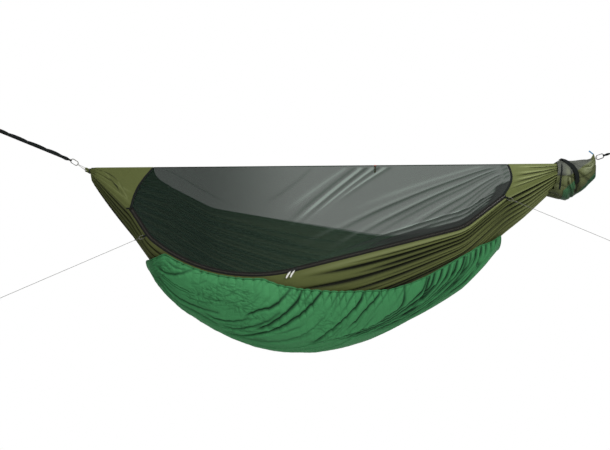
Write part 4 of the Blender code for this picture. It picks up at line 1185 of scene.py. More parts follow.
# The far side is the near one turned half round, so its foot end has the form of a head end.
WALL_ENDS = (("near", "head", "head"), ("near", "foot", "foot"),
             ("far", "foot", "head"), ("far", "head", "foot"))


def panel(side, end, form):
    base = BASES[form]
    u, w = np.meshgrid(np.linspace(0, 1, 72), np.linspace(0, 1, 52), indexing="ij")
    rise = fold_height(u, w, PANEL_FOLDS[form], 0.34, 0.30)
    fine = ripple((u * 0.36, w * 0.3), 26.0, 3.0) * 0.0013
    edge = inset(w, 0.06) * inset(u, 0.05)
    points = base(u, w) - outward(base, u, w) * ((rise + fine) * edge)[..., None]
    depth, least, pale = PANEL_SHADES[form]
    # Painted shade in the valleys, painted highlight on the ridges, and more highlight towards the
    # top.
    shade = np.clip(-rise / depth, least, 1) * edge
    shade = shade - pale * (1 - w) * (shade < 0.3)
    # Below the zip's line the panel goes on to the bed's edge and is sewn to it, behind the tape.
    if form == "head":
        gather, stop, share = -RIDGE_HALF + SHEET_END, BED_EDGE[1, 0] + 0.004, u[:, 0]
    else:
        gather, stop, share = RIDGE_HALF - SHEET_END, BED_EDGE[-2, 0] - 0.004, 1 - u[:, 0]
    seam = near_edge(gather + (stop - gather) * share, BED_EDGE) - SLOPE_OUT * 0.0012
    more = np.array((0.25, 0.50, 0.75, 0.92, 1.0, 1.08))
    last = points[:, -1]
    extra = last[:, None] + (seam - last)[:, None] * more[None, :, None]
    extra -= SLOPE_OUT * (0.0016 * np.sin(math.pi * np.clip(more, 0, 0.5)))[None, :, None]
    over = points[:, :1] * (1, 0, 0) + (0, -0.0010, 0.0028)
    points = np.concatenate([over, points, extra], 1)
    # Painted shade where the panel runs in behind the tape.
    shade_behind_tape = np.broadcast_to(np.array((0.0, 0.0, 0.05, 0.5, 0.8, 0.6)), extra.shape[:2])
    shade = np.concatenate([0 * shade[:, :1] - 0.3, shade, shade_behind_tape], 1)
    return cloth(f"{end}_end_panel_{side}", on_side(points, side), olive_cloth, 0.0006, shade,
                 slot="olive_ripstop", nodes=(f"{end}_panel_{side}",))


panels = [panel(*place) for place in WALL_ENDS]
print("panels", len(panels))

# %% [markdown]
# A binding is a narrow tape sewn over a seam, a little raised in the middle. It could be cut out
# of the panel's own sheet. It is a strip of its own here, set a little off the seam's own line.

# %% Bindings over the seams
BINDING_OUT = 0.0018
# The binding's section, as (across, out).
BINDING = ((-0.0062, -0.0010), (-0.0060, 0.0), (-0.0052, 0.0006), (-0.003, 0.0008),
           (0.0, 0.0012), (0.003, 0.0008), (0.0052, 0.0006), (0.0060, 0.0), (0.0062, -0.0010))


def binding(side, end, form):
    base = BASES[form]
    w = np.linspace(0.0, 1.06, 48)
    seam = np.full_like(w, 1.0 if form == "head" else 0.0)
    centre = base(seam, w)
    along = unit(np.gradient(centre, axis=0))
    out = unit(np.cross(along, base(np.abs(seam - 0.04), w) - centre))
    out *= -np.sign(out[:, 1:2])
    across = np.cross(along, out)
    centre = centre + out * BINDING_OUT
    points = np.stack([
        centre + across * off
        + out * (lift + ripple((w * 0.3, w * 0), 60.0, off * 900) * 0.0003)[:, None]
        for off, lift in BINDING], 1)
    return cloth(f"{end}_seam_binding_{side}", on_side(points, side), narrow_web, 0.0005,
                 slot="black_webbing", nodes=(f"{end}_binding_{side}",))


bindings = [binding(*place) for place in WALL_ENDS]
print("bindings", len(bindings))

# %% [markdown]
# The zip is a coil zip: each half is a woven tape with a spiral of nylon sewn along its edge. The
# spiral's loops are the teeth, so they are made one by one, half a pitch apart on the two halves.
# An array along a curve could carry them. Here each is placed by its distance along the zip's
# line, which keeps the pitch even round the bends.

# %% Zip tapes and teeth
TAPE_INNER = 0.0008
TOOTH_PITCH = 0.0024
course_points = slope_point(COURSE[:, 0], COURSE[:, 1])
course_down = (slope_point(COURSE[:, 0] + np.sin(COURSE[:, 2]), COURSE[:, 1] + np.cos(COURSE[:, 2]))
               - course_points)
course_reach = run_of(course_points)


def tape(name, offsets, node, side="near", weave=zip_weave):
    """A thin tape along the zip's line, through (down the slope, out of it) offsets."""
    points = np.stack([course_points + course_down * a + SLOPE_OUT * b for a, b in offsets], 1)
    # A little spare tape at each end is turned under the binding.
    spare = [2 * points[k] - points[j] for k, j in ((0, 1), (-1, -2))]
    points = np.concatenate([spare[:1], points, spare[1:]])
    return cloth(name, on_side(points, side), weave, 0.0005, slot="zip_tape", nodes=(node,))


lower = [(TAPE_INNER, 0.0), (0.003, 0.0), (0.0045, 0.0002), (0.0062, 0.0), (0.0095, 0.0001),
         (0.0112, 0.0006), (TAPE_OUTER, 0.0004)]
seam_profile = [(a, 0.0004 * math.cos(a / TAPE_OUTER * 9))
                for a in np.linspace(-TAPE_OUTER, TAPE_OUTER, 9)]
lower_tape = tape("zip_tape_lower", lower, "zip_lower_tape")
tape("zip_tape_upper", [(-a, b) for a, b in lower], "zip_upper_tape")
far_tape = tape("far_edge_seam_tape", seam_profile, "far_edge_tape", "far", seam_weave)

# A tooth's outline, as (down the slope, half width, out of the slope).
TOOTH = ((0.0004, 0.00070, 0.0004), (0.0002, 0.00085, 0.0012), (0.0008, 0.0006, 0.0021),
         (0.0030, 0.0006, 0.0021), (0.0036, 0.00085, 0.0012), (0.0034, 0.0007, 0.0004))


def teeth(name, side, shift):
    """Loops of the coil: each a small rounded bar across the tape's edge."""
    stops = np.arange(0.004 + shift, course_reach[-1] - 0.004, TOOTH_PITCH)
    middle, down = (np.stack([np.interp(stops, course_reach, table[:, k]) for k in range(3)], -1)
                    for table in (course_points, course_down * side))
    along = np.cross(down, SLOPE_OUT)
    points = np.stack([middle + down * a + along * (half * sign) + SLOPE_OUT * b
                       for a, half, b in TOOTH for sign in (-1, 1)], 1).reshape(-1, 3)
    size = 2 * len(TOOTH)
    ring = range(0, size, 2)
    block = [(i, (i + 2) % size, (i + 2) % size + 1, i + 1) for i in ring]
    block += [tuple(reversed(ring)), tuple(i + 1 for i in ring)]
    mesh = join_mesh(name, points, repeat_faces(block, size, len(stops)))
    return add_object(name, mesh, coil_plastic, slot="zip_tape")


teeth("zip_coil_lower", 1, 0.0)
teeth("zip_coil_upper", -1, TOOTH_PITCH / 2)
print("teeth on each half", int(course_reach[-1] / TOOTH_PITCH))

# %% [markdown]
# The ridgeline is a thin cord from gather to gather, which sets how deep the hammock hangs. It is
# pulled straight, so one straight sweep with a braid is enough.

# %% Ridgeline
RIDGE_CORD = 0.0040
ends = RIDGE_HALF - 0.020
ridge_points = np.linspace(-ends, ends, 40)[:, None] * (1, 0, 0)
ridgeline = cord_piece("ridgeline_cord", ridge_points, RIDGE_CORD, black_braid, 10,
                       slot="zip_tape", nodes=("ridgeline",))
print("ridgeline", 2 * ends, "m")

# %% [markdown]
# At each end the cloth is drawn into a bunch, whipped with cord round its neck. The bunch shows
# many small flutes, and beyond the whipping the cloth's hem flares out round the loop.
# It could be sculpted. Rings with flutes in them are used, so that each flute runs on from the
# bed's side through the whipping to the hem.

# %% Gathered ends
# Rings of the bunch: how far inwards, height of its middle, half width, half height, and depth of
# the flutes.
GATHER_RINGS = ((0.050, -0.0625, 0.042, 0.0610, 0.10), (0.042, -0.0560, 0.036, 0.0550, 0.13),
                (0.034, -0.0500, 0.031, 0.0490, 0.16), (0.027, -0.0445, 0.027, 0.0435, 0.17),
                (0.020, -0.0385, 0.022, 0.0375, 0.17), (0.0175, -0.0300, 0.0180, 0.0290, 0.15),
                (0.0155, -0.0215, 0.0145, 0.0180, 0.12), (0.0145, -0.0175, 0.0128, 0.0132, 0.10),
                (0.0100, -0.0172, 0.0122, 0.0126, 0.08), (0.0050, -0.0172, 0.0126, 0.0130, 0.10),
                (0.0010, -0.0150, 0.0150, 0.0135, 0.16), (-0.0050, -0.0118, 0.0168, 0.0130, 0.20),
                (-0.0110, -0.0095, 0.0175, 0.0128, 0.22), (-0.0148, -0.0088, 0.0172, 0.0124, 0.24))
FLUTES = 23


def bunch(end, side):
    around = np.linspace(0, 2 * math.pi, 184, endpoint=False)
    stations = np.array(GATHER_RINGS)
    fine = np.linspace(0, len(stations) - 1, 46)
    rows = np.stack([np.interp(fine, range(len(stations)), column) for column in stations.T], -1)
    inward, z, half_y, half_z, depth = rows[rows[:, 0] < 0.0478].T[:, :, None]
    wander = 0.5 * np.sin(2 * around + 60 * inward) + 0.4 * np.sin(5 * around + 1.7)
    valley = 1 - np.abs(np.sin(FLUTES / 2 * around + wander))
    flute = 1 - depth * (1 - (1 - valley) ** 0.8)
    x = side * (RIDGE_HALF - inward - 0.003 * depth * np.sin(FLUTES * around))
    points = np.stack([x, half_y * np.cos(around) * flute, z + half_z * np.sin(around) * flute], -1)
    points = np.concatenate([points, points[:, :1]], 1)
    # Painted shade in the valleys of the flutes.
    shade = valley ** 3 * 0.9
    shade = np.concatenate([shade, shade[:, :1]], 1)
    name = f"{end}_bunched_cloth"
    mesh = join_mesh(name, points.reshape(-1, 3), grid_faces(*points.shape[:2]),
                     cut_lengths(points), shade)
    weld(mesh, 1e-7, close=True)
    return add_object(name, mesh, olive_cloth, slot="olive_ripstop", nodes=(f"{end}_gather",))


WHIP_IN = 0.010
WHIP_WIDE = 0.0072
WHIP_TURNS = 5


def whipping(end, side):
    """Cord wound round the neck of the bunch."""
    t = np.linspace(0, 1, WHIP_TURNS * 22)
    angle = 2 * math.pi * WHIP_TURNS * t
    x = side * (RIDGE_HALF - WHIP_IN + (t - 0.5) * WHIP_WIDE)
    points = np.stack([x, 0.0141 * np.cos(angle), -0.0175 + 0.0145 * np.sin(angle)], -1)
    cord_piece(f"{end}_whipping_cord", points, 0.0017, black_braid, 8, normal=(0, 1, 0),
               slot="black_webbing", nodes=(f"{end}_whipping",))


for end, side in (("head", -1), ("foot", 1)):
    bunch(end, side)
    whipping(end, side)
print("gathers made")

# %% [markdown]
# A continuous loop of white cord passes through the bunch and round the carabiner. Its two legs
# open over the bunch and close towards the link.
# A few points drawn through by a smooth curve are enough for its course.

# %% Suspension loops
LOOP_CORD = 0.0034
LINK_LENGTH = 0.046
LOOPS = {"head": (line_frame((0.089277, 0.0, -0.056802), (-0.83195, 0.0, 0.55484)), 0.1060),
         "foot": (line_frame((2.871277, 0.0, -0.056802), (0.94206, 0.0, 0.33545)), 0.1780)}
for end, (line, reach) in LOOPS.items():
    rod_x = reach - LINK_LENGTH
    wrap = ROD / 2 + LOOP_CORD / 2 + 0.0005
    half = [(0.0, 0.0090), (0.0, 0.0175), (0.0012, 0.0208), (0.0045, 0.0228), (0.0095, 0.0230),
            (0.0150, 0.0208), (rod_x - 0.0040, wrap + 0.0006), (rod_x, wrap),
            (rod_x + 0.7 * wrap, 0.7 * wrap), (rod_x + wrap, 0.0)]
    route = [(x, 0, z) for x, z in half] + [(x, 0, -z) for x, z in reversed(half[:-1])]
    cord_piece(f"{end}_suspension_loop", on_line(line, smooth_curve(route)), LOOP_CORD,
               white_braid, 10, normal=line[2], closed=True, slot="white_cord",
               nodes=(f"{end}_loop",))
print("suspension loops made")

# %% [markdown]
# The underquilt is a puffy layer that hangs under the bed on a shock cord in its hem. The cord
# draws the hem into small gathers, and the cloth falls from them in long folds that sweep down
# and towards the head.
# An inflated cloth simulation is the usual way to such a pad. The main folds are pressed in one
# by one instead, because their places are known.

# %% Underquilt form
QUILT_HALF = 1.000
QUILT_GAP = 0.019
QUILT_BELLY = 0.088
# The hem's height along the quilt and the belly's fullness, read off the photograph.
HEM_X = np.array((-1000, -955, -880, -820, -755, -710, -610, -545, -495, -415, -380, -300, -180,
                  20, 305, 425, 525, 700, 840, 945, 1000)) / 1000
HEM_Z = np.array((-472, -449, -413, -452, -481, -495, -520, -530, -535, -538, -538, -572, -601,
                  -627, -637, -609, -569, -470, -397, -374, -352)) / 1000
FULL_U = np.array((0, 20, 100, 240, 370, 450, 565, 710, 860, 950, 1000)) / 1000
FULLNESS = np.array((300, 500, 800, 980, 1080, 1080, 880, 660, 740, 560, 400)) / 1000
DRAWN_IN = 0.050
HEM_DIP = 0.0075
HEM_PUFF = 0.009


def hem_shares(x):
    """Share of the bed's section at which the near hem lies, found by halving."""
    low, high = np.full_like(x, 0.007), np.full_like(x, 0.45)
    target = np.interp(x, HEM_X, HEM_Z)
    for _ in range(24):
        v = (low + high) / 2
        above = bed_point(x, v)[..., 2] > target
        low, high = np.where(above, v, low), np.where(above, high, v)
    return low


HEM_TABLE_X = np.linspace(-QUILT_HALF - 0.02, QUILT_HALF + 0.02, 409)
HEM_TABLE = hem_shares(HEM_TABLE_X)

GATHERS = 44
fold_draw = np.random.default_rng(5)
gather_rows = [((k + fold_draw.uniform(0.2, 0.8)) / GATHERS, fold_draw.uniform(0.025, 0.11),
                fold_draw.uniform(0.0045, 0.0095)) for k in range(GATHERS)]
GATHER_PLACES = np.array([-0.02] + [row[0] for row in gather_rows] + [1.02])


def half_turned(u, w):
    """u from the head on the near half of the quilt, and from the foot on the far half."""
    return np.where(w > 0.5, 1 - u, u)


def hem_puffs(u, w):
    """How far the hem puffs out between two gathers, 0 to 1, and how strongly it is drawn."""
    half_u = half_turned(u, w)
    drawn = 0.5 + 0.5 * smooth_step(half_u, 0.34, 0.44) - 0.7 * smooth_step(half_u, 0.64, 0.76)
    return bulges(GATHER_PLACES, half_u, 0.7), drawn


def quilt_place(u, w):
    x = QUILT_HALF * (2 * u - 1)
    puff, drawn = hem_puffs(u, w)
    dip = HEM_DIP * (1 - puff) * drawn
    near = np.interp(x, HEM_TABLE_X, HEM_TABLE) + dip * (w < 0.5)
    far = 1 - np.interp(-x, HEM_TABLE_X, HEM_TABLE) - dip * (w > 0.5)
    # The two free corners are drawn in by the cord, towards the middle.
    x = x - DRAWN_IN * smooth_step(u, 0.82, 1.0) * (1 - smooth_step(w, 0.5, 1.0))
    x = x + DRAWN_IN * smooth_step(1 - u, 0.82, 1.0) * smooth_step(w, 0.0, 0.5)
    return x, near + (far - near) * w


def quilt_base(u, w):
    """The quilt's middle surface, without folds."""
    x, v = quilt_place(u, w)
    belly = np.interp(u, FULL_U, FULLNESS) * np.clip(np.sin(math.pi * w), 0, None) ** 0.7
    puff, drawn = hem_puffs(u, w)
    hem = np.exp(-(np.minimum(w, 1 - w) / 0.035) ** 1.5)
    offset = QUILT_GAP + QUILT_BELLY * belly + HEM_PUFF * (puff - 0.6) * drawn * hem
    return bed_point(x, v) + outward(bed_point, x, v) * offset[..., None]


# The long folds of the near side, each with its depth, its half width and the (u, w) places it
# runs through, in thousandths. The far side has the same ones, turned half round.
LONG_FOLDS = (
    (17, 6.2, (205, 318), (253, 300), (310, 247), (367, 163), (425, 73), (465, 3)),
    (12, 6, (262, 175), (288, 143), (333, 100), (383, 5)),
    (14, 6, (285, 240), (315, 207), (357, 127), (393, 63), (415, 0)),
    (8, 6, (160, 212), (198, 227), (238, 213), (275, 180)),
    (8.5, 6, (195, 262), (242, 260), (285, 220), (320, 175), (352, 110)),
    (8, 7, (20, 40), (48, 187), (90, 220), (145, 205), (200, 185)),
    (7, 6, (12, 80), (35, 205), (90, 262), (150, 250), (200, 268)),
    (8.5, 7, (26, 30), (52, 105), (83, 80), (125, 10)), (6, 6, (50, 15), (80, 36), (110, 20)),
    (9, 6, (420, 280), (455, 233), (473, 197), (500, 165)),
    (5, 8, (245, 290), (300, 312), (367, 257), (427, 197)),
    (13, 6, (420, 268), (455, 223), (522, 120), (568, 43), (580, 0)),
    (11.5, 6, (515, 195), (552, 140), (583, 80), (618, 23), (625, 0)),
    (11, 6, (615, 170), (642, 140), (685, 97), (695, 0)),
    (14, 6, (690, 172), (713, 150), (743, 100), (772, 65)),
    (13, 6, (620, 250), (675, 190), (733, 117), (760, 20), (765, 0)),
    (11, 5.5, (657, 240), (715, 230), (800, 180), (848, 90), (870, 10)),
    (10, 5.5, (780, 235), (843, 200), (890, 137), (917, 10)),
    (10, 5.5, (845, 190), (888, 167), (932, 57), (943, 5)),
    (8, 5, (765, 150), (810, 100), (832, 10)), (8, 5, (800, 150), (850, 80), (872, 10)),
    (7, 5, (775, 190), (835, 130), (895, 20)), (6, 5, (900, 200), (945, 130), (968, 20)),
    *((19 - 3 * (k % 3), 7 - 1.2 * (k % 2), (785 - 32 * k, 265), (850 - 30 * k, 225),
       (905 - 27 * k, 180), (950 - 24 * k, 120), (976 - 21.5 * k, 60), (988 - 21 * k, 4))
      for k in range(12)))
SMALL_FOLDS = 64
CLOTH_LONG = 2.06
CLOTH_WIDE = 1.25
small_rows = [(fold_draw.uniform(0.03, 0.90), fold_draw.uniform(-0.2, 1.6),
               fold_draw.uniform(0.15, 0.55), fold_draw.uniform(0.0020, 0.0065),
               fold_draw.uniform(0.0022, 0.0042)) for _ in range(SMALL_FOLDS)]


def crease_profile(off, width):
    """A sharp valley with a soft ridge on each side, from 1 deep to a little below 0."""
    far = np.abs(off) / width
    return np.exp(-far ** 1.3) - 0.34 * np.exp(-((far - 2.6) / 1.5) ** 2)


def long_fold(u, w, places, width):
    """How deep the cloth lies in one fold, and the share of its length that is passed."""
    cut = (CLOTH_LONG, CLOTH_WIDE)
    path = smooth_curve(np.array(places) / 1000, closed=False) * cut
    gap, share = path_gap(np.stack([u, w], -1) * cut, path)
    return crease_profile(gap, width * (1.0 + 0.4 * share)), share


def fold_flow(u, w):
    """Where the folds run: round the head end of the hem, as (how far out, angle)."""
    stretch = 1.15 + 0.45 * smooth_step(u, 0.50, 0.68)
    return np.hypot(u - 0.10, stretch * w), np.arctan2(stretch * w, u - 0.10)


def quilt_folds(u, w):
    """Height of the outer skin's folds in metres, and painted shade by how deep a place is in one.
    """
    half_u = half_turned(u, w)
    half_w = np.minimum(w, 1 - w)
    waver = ripple((half_u * 2, half_w * 1.2), 5.0, 2.0)
    calm = 1 - 0.75 * smooth_step(half_u, 0.35, 0.70)
    waver_u, waver_w = half_u + 0.0030 * waver * calm, half_w + 0.004 * waver * calm
    tall = np.zeros(np.shape(u))
    deep = np.zeros(np.shape(u))

    def press(depth, cut):
        nonlocal tall, deep
        tall = tall - depth * cut
        deep = np.maximum(deep, np.clip(cut, 0, 1) * np.clip(depth / 0.010, 0, 1.2))

    for depth, width, *places in LONG_FOLDS:
        cut, share = long_fold(half_u + 0.4 * (waver_u - half_u), half_w + 0.4 * (waver_w - half_w),
                               places, width / 1000)
        fade = smooth_step(share, 0.0, 0.3) * (1 - 0.35 * smooth_step(share, 0.7, 1))
        press(depth / 1000 * fade, cut)
    out, angle = fold_flow(waver_u, waver_w)
    for place, start, length, depth, width in small_rows:
        depth = depth * (0.35 + 0.65 * calm)
        cut = crease_profile(out - place - 0.01 * np.sin(3 * angle + 40 * place), width)
        stop = start + length
        press(depth * smooth_step(angle, start, start + 0.2)
              * (1 - smooth_step(angle, stop, stop + 0.3)), cut)
    # Fine crinkles, where the cloth is loose: they lie along the zero lines of slow noise.
    loose = smooth_step(ripple((half_u * 2.0, half_w * 1.5), 4.5, 3.0), -0.12, 0.20)
    loose = loose * smooth_step(0.62 - half_u, 0, 0.2)
    loose = loose * (1 - smooth_step(half_w, 0.24, 0.36))
    for scale, seed, depth, half in ((13.0, 11.0, 0.0040, 0.055), (25.0, 5.0, 0.0032, 0.075)):
        crinkle = ripple((out * 2.0, angle * 0.6), scale, seed)
        press(depth * loose, np.exp(-np.abs(crinkle / half) ** 1.5))
    for place, reach, depth in gather_rows:
        weak = 0.45 + 0.55 * smooth_step(place, 0.36, 0.46) - 0.72 * smooth_step(place, 0.62, 0.76)
        leaning = waver_u + 0.45 * half_w
        cut = crease_profile((leaning - place) * CLOTH_LONG, 0.0060 + 0.02 * half_w)
        press(depth * weak * np.exp(-(half_w / (reach * weak)) ** 1.5), cut)
    # On the underside the cloth hangs in long soft waves, with painted shade in their hollows.
    under = smooth_step(half_w, 0.34, 0.46)
    long_wave = np.abs(np.sin(math.pi * (9 * (w + 0.05 * np.sin(5 * u) + 0.02 * waver)))) ** 0.7
    tall = tall * (1 - under) - 0.006 * under * (1 - long_wave)
    deep = deep * (1 - under) + 0.6 * under * (1 - long_wave) ** 2
    return tall, np.clip(deep, 0, 1)


QUILT_ROWS = 481
QUILT_SIDE = 108
QUILT_UNDER = 48
FRONT = 0.33


def quilt_skins():
    columns = np.concatenate([np.linspace(0, FRONT, QUILT_SIDE, endpoint=False),
                              np.linspace(FRONT, 1 - FRONT, QUILT_UNDER, endpoint=False),
                              np.linspace(1 - FRONT, 1, QUILT_SIDE + 1)])
    u, w = np.meshgrid(np.linspace(0, 1, QUILT_ROWS), columns, indexing="ij")
    base = quilt_base(u, w)
    normal = outward(quilt_base, u, w)
    rim = np.clip(np.minimum(np.minimum(u, 1 - u) / 0.06, np.minimum(w, 1 - w) / 0.07), 0, 1)
    loft = 0.0025 + 0.0085 * np.sin(rim * math.pi / 2)
    tall, deep = quilt_folds(u, w)
    out, angle = fold_flow(u, w)
    calm = 1 - 0.85 * smooth_step(half_turned(u, w), 0.35, 0.68)
    crumple = ripple((out * 2.0, angle * 0.5), 9.0, 6.0) * 0.0035 * calm
    crumple += ripple((u * 2.0, w * 1.2), 24.0, 6.0) * 0.0014 * calm
    crumple += ripple((u * 2.0 + w * 0.8, w * 1.2 - u * 0.4), 62.0, 9.0) * 0.0010 * calm
    ends = inset(u, 0.02)
    outer = base + normal * (loft + (tall + crumple) * (0.35 + 0.65 * rim) * ends)[..., None]
    inner = base - normal * loft[..., None]
    return outer, inner[::4, ::4], deep * ends


def closed_pad(name, outer, inner, deep, material, **rest):
    """An outer skin and a four times coarser inner one, joined round their rims."""
    rows, columns = outer.shape[:2]
    back = rows * columns
    faces = grid_faces(rows, columns) + grid_faces(*inner.shape[:2], back, flip=True)

    def rim(index):
        return np.concatenate([index[:-1, 0], index[-1, :-1], index[:0:-1, -1], index[0, :0:-1]])

    front = rim(np.arange(back).reshape(rows, columns))
    behind = rim(back + np.arange(inner.shape[0] * inner.shape[1]).reshape(inner.shape[:2]))
    for k in range(len(behind)):
        part = [int(front[(4 * k + i) % len(front)]) for i in range(5)]
        faces.append(part[::-1] + [int(behind[k]), int(behind[(k + 1) % len(behind)])])
    points = np.concatenate([outer.reshape(-1, 3), inner.reshape(-1, 3)])
    uvs = np.concatenate([cut_lengths(outer), cut_lengths(inner) + 4.0])
    folds = np.concatenate([deep.ravel(), 0 * inner[..., 0].ravel()])
    mesh = join_mesh(name, points, faces, uvs, folds)
    return add_object(name, mesh, material, **rest)


quilt_outer, quilt_inner, quilt_deep = quilt_skins()
quilt = closed_pad("underquilt_pad", quilt_outer, quilt_inner, quilt_deep, green_cloth,
                   slot="green_ripstop", nodes=("underquilt",))
print("underquilt", quilt_outer.shape[:2], "points")

# %% [markdown]
# The quilt's edge is a narrow sleeve, puckered by the shock cord inside. It could be part of the
# pad. A tube of its own is simpler, and its puckers are made as it is swept round.

# %% Hem channel
SLEEVE_OUT = 0.0055
SLEEVE_RADIUS = 0.0030
SLEEVE_PUFF = 0.0013
PUFF_PITCH = 0.011
SLEEVE_SIDES = 10


def hem_channel():
    """A narrow gathered sleeve round the quilt's edge, which hides the shock cord."""
    along, over = np.linspace(0, 1, 620), np.linspace(0, 1, 300)
    u = np.concatenate([along, 0 * over[1:] + 1, along[::-1][1:], 0 * over[1:-1]])
    w = np.concatenate([0 * along, over[1:], 0 * along[1:] + 1, over[::-1][1:-1]])
    edge = quilt_base(u, w)
    inner = quilt_base(0.5 + 0.9 * (u - 0.5), 0.5 + 0.9 * (w - 0.5))
    normal = outward(bed_point, *quilt_place(u, w))
    away = unit(np.cross(np.roll(edge, -1, 0) - np.roll(edge, 1, 0), normal))
    away *= np.sign(np.sum(away * (edge - inner), axis=1, keepdims=True))
    centre = edge + away * SLEEVE_OUT
    reach = run_of(centre, closed=True)
    wander = math.pi * reach[:-1] / PUFF_PITCH + 2 * np.sin(reach[:-1] * 9)
    size = (SLEEVE_RADIUS + SLEEVE_PUFF * np.abs(np.sin(wander)))[:, None, None]
    around = np.linspace(0, 2 * math.pi, SLEEVE_SIDES, endpoint=False)[None, :, None]
    rings = centre[:, None] + size * (away[:, None] * 1.15 * np.cos(around)
                                      + normal[:, None] * np.sin(around))
    puff, drawn = hem_puffs(u, w)
    # The sleeve is drawn a little darker all along, and painted shade is added in its pinches.
    shade = np.repeat(0.25 + 0.7 * drawn * (1 - puff) ** 2, SLEEVE_SIDES)
    girth = np.arange(SLEEVE_SIDES + 1) * SLEEVE_RADIUS
    mesh = tube_mesh("quilt_hem_channel", rings, reach, girth, closed=True, folds=shade)
    add_object("quilt_hem_channel", mesh, green_cloth, slot="green_ripstop",
               nodes=("quilt_hem_cord",))
    return reach[-1]


print("hem", hem_channel().round(2), "m round")

# %% [markdown]
# Small tabs of webbing are folded round what they hold: the rings of the side tie-outs, the
# ridgeline, and the loop at the sack's neck.
# Each is swept like a strap, along the outline of a hairpin, so one function makes them all.

# %% Tabs


def folded_tab(name, line, rod, length, width, thickness, material, **rest):
    """Webbing that comes from its seam, goes round a rod and back."""
    layer = thickness / 2 + 0.00015
    neck = 0.005 if rod < 0.004 else 0.007
    back = [(-s, -layer) for s in np.linspace(length, neck, 6)]
    route = back + half_round(rod / 2 + thickness / 2 + 0.0004, 11)
    route += [(s, -q) for s, q in reversed(back)]
    web_piece(name, line, route, width, thickness, material, **rest)


for end, line in GUYS.items():
    folded_tab(f"{end}_tie_out_tab", line, RING_WIRE, 0.020, 0.010, 0.0012, narrow_web,
               nodes=(f"{end}_tie_tab",))
red_web = webbing("red_brown_tape", (0.22, 0.050, 0.035), 0.0014, 0.012)
folded_tab("ridge_hanging_tab", line_frame((1.735277, 0.0, -0.045302), (0, 0, 1)), RIDGE_CORD,
           0.042, 0.012, 0.0010, red_web, body="ridge_hang_tab", nodes=("ridge_hang_tab",))
corner_line = line_frame((0.355795, -0.243886, -0.23785), (-0.92, -0.37, 0.09))
folded_tab("zip_corner_tab", corner_line, 0.003, 0.0195, 0.008, 0.0010, narrow_web,
           nodes=("corner_tab",))
print("tabs made")

# %% [markdown]
# The two sliders ride on the zip, each with a pull: a loop of pale cord through the slider's
# bail, closed in a moulded grip.
# The grip could be cut from a block. A table of rings gives its thin neck and flat end directly.

# %% Zip pulls
BAIL_OUT = 0.0100
PULL_SAG = 3.0
PULL_LENGTH = 0.064
PULL_LIFT = math.radians(10)
PULL_ANGLE = math.radians(50) - RUN_HEADING
SLIDER_AHEAD = (0.014 + 0.0075) / 2

# Rings of the grip: how far along, half width and half thickness.
GRIP = ((0.0094, 0.0012, 0.0010), (0.0105, 0.0018, 0.0014), (0.0140, 0.0020, 0.0015),
        (0.0200, 0.0020, 0.0015), (0.0225, 0.0026, 0.0017), (0.0250, 0.0040, 0.0019),
        (0.0300, 0.0045, 0.0020), (0.0400, 0.0047, 0.0020), (0.0500, 0.0047, 0.0020),
        (0.0570, 0.0044, 0.0019), (0.0610, 0.0036, 0.0016), (0.0630, 0.0024, 0.0012),
        (PULL_LENGTH, 0.0010, 0.0006))
DARK_RINGS = 3


def slider_place(end):
    """Where a slider stands and the directions of its travel and up the slope."""
    heading = RUN_HEADING - (SLIDER_AHEAD / ARC_RADIUS if end == "head" else 0)
    x = ARC_CENTRE[0] + ARC_RADIUS * math.sin(heading)
    drop = ARC_CENTRE[1] + ARC_RADIUS * math.cos(heading)
    if end == "foot":
        x += SLIDER_AHEAD * math.cos(heading)
        drop -= SLIDER_AHEAD * math.sin(heading)
    travel = slope_point(x + math.cos(heading), drop - math.sin(heading)) - slope_point(x, drop)
    return slope_point(x, drop), travel, np.cross(SLOPE_OUT, travel)


def pull(end):
    place, travel, up = slider_place(end)
    turn = (Matrix.Rotation(-PULL_LIFT, 3, "X")
            @ Matrix.Rotation(math.pi + PULL_ANGLE, 3, "Z"))
    axes = np.array(Matrix(np.stack([travel, up, SLOPE_OUT], 1).tolist()) @ turn)
    middle = place + SLOPE_OUT * BAIL_OUT

    def put(local):
        """From the pull's own directions; it sags a little along its length."""
        local[..., 1] += PULL_SAG * np.clip(local[..., 0] - 0.008, 0, None) ** 2
        return middle + local @ axes.T

    angle = np.linspace(0, 2 * math.pi, 28, endpoint=False)
    eye = np.stack([0.0033 + 0.0069 * np.cos(angle), 0 * angle, 0.0036 * np.sin(angle)], -1)
    cord_piece(f"{end}_pull_cord", put(eye), 0.0014, black_braid, 8, normal=axes[:, 1],
               closed=True, body=f"{end}_pull", slot="white_cord", nodes=(f"{end}_pull",))
    angle = np.linspace(0, 2 * math.pi, 20, endpoint=False)
    square = (np.abs(np.cos(angle)) ** 3 + np.abs(np.sin(angle)) ** 3) ** (-1 / 3)
    along, wide, thick = np.array(GRIP).T[:, :, None]
    rings = put(np.stack([0 * angle + along, wide * np.cos(angle) * square,
                          thick * np.sin(angle) * square], -1))
    dark = np.repeat(np.arange(len(rings)) < DARK_RINGS, len(angle))
    mesh = tube_mesh(f"{end}_pull_grip", rings, along[:, 0], run_of(rings[7], True), flip=True,
                     folds=dark)
    add_object(f"{end}_pull_grip", mesh, pale_grip, body=f"{end}_pull", slot="white_cord")


def grip_finish():
    """A pale grip that is dark where the cord enters it."""
    made = Finish("pale_moulded_grip")
    grain = made.cloud(1500.0, 3.0)
    pale = made.mix(grain * 0.4, (0.62, 0.62, 0.58), (0.5, 0.5, 0.46))
    return made.surface(Base_Color=made.mix(made.fold(), pale, (0.010, 0.011, 0.010)),
                        Roughness=0.45 + grain * 0.2, Specular_IOR_Level=0.2)


pale_grip = grip_finish()
for end in ("head", "foot"):
    pull(end)
print("pulls made")

# %% [markdown]
# The hammock packs into its own sack, which is turned out of the way round the foot gather. It
# has a grey top, an olive body and a green lower side, a wide hem and two black straps.
# It could be sculpted too. A tube through a few rings is used, with creases pressed in, so that
# the cloths, the hem and the straps all lie on one surface.

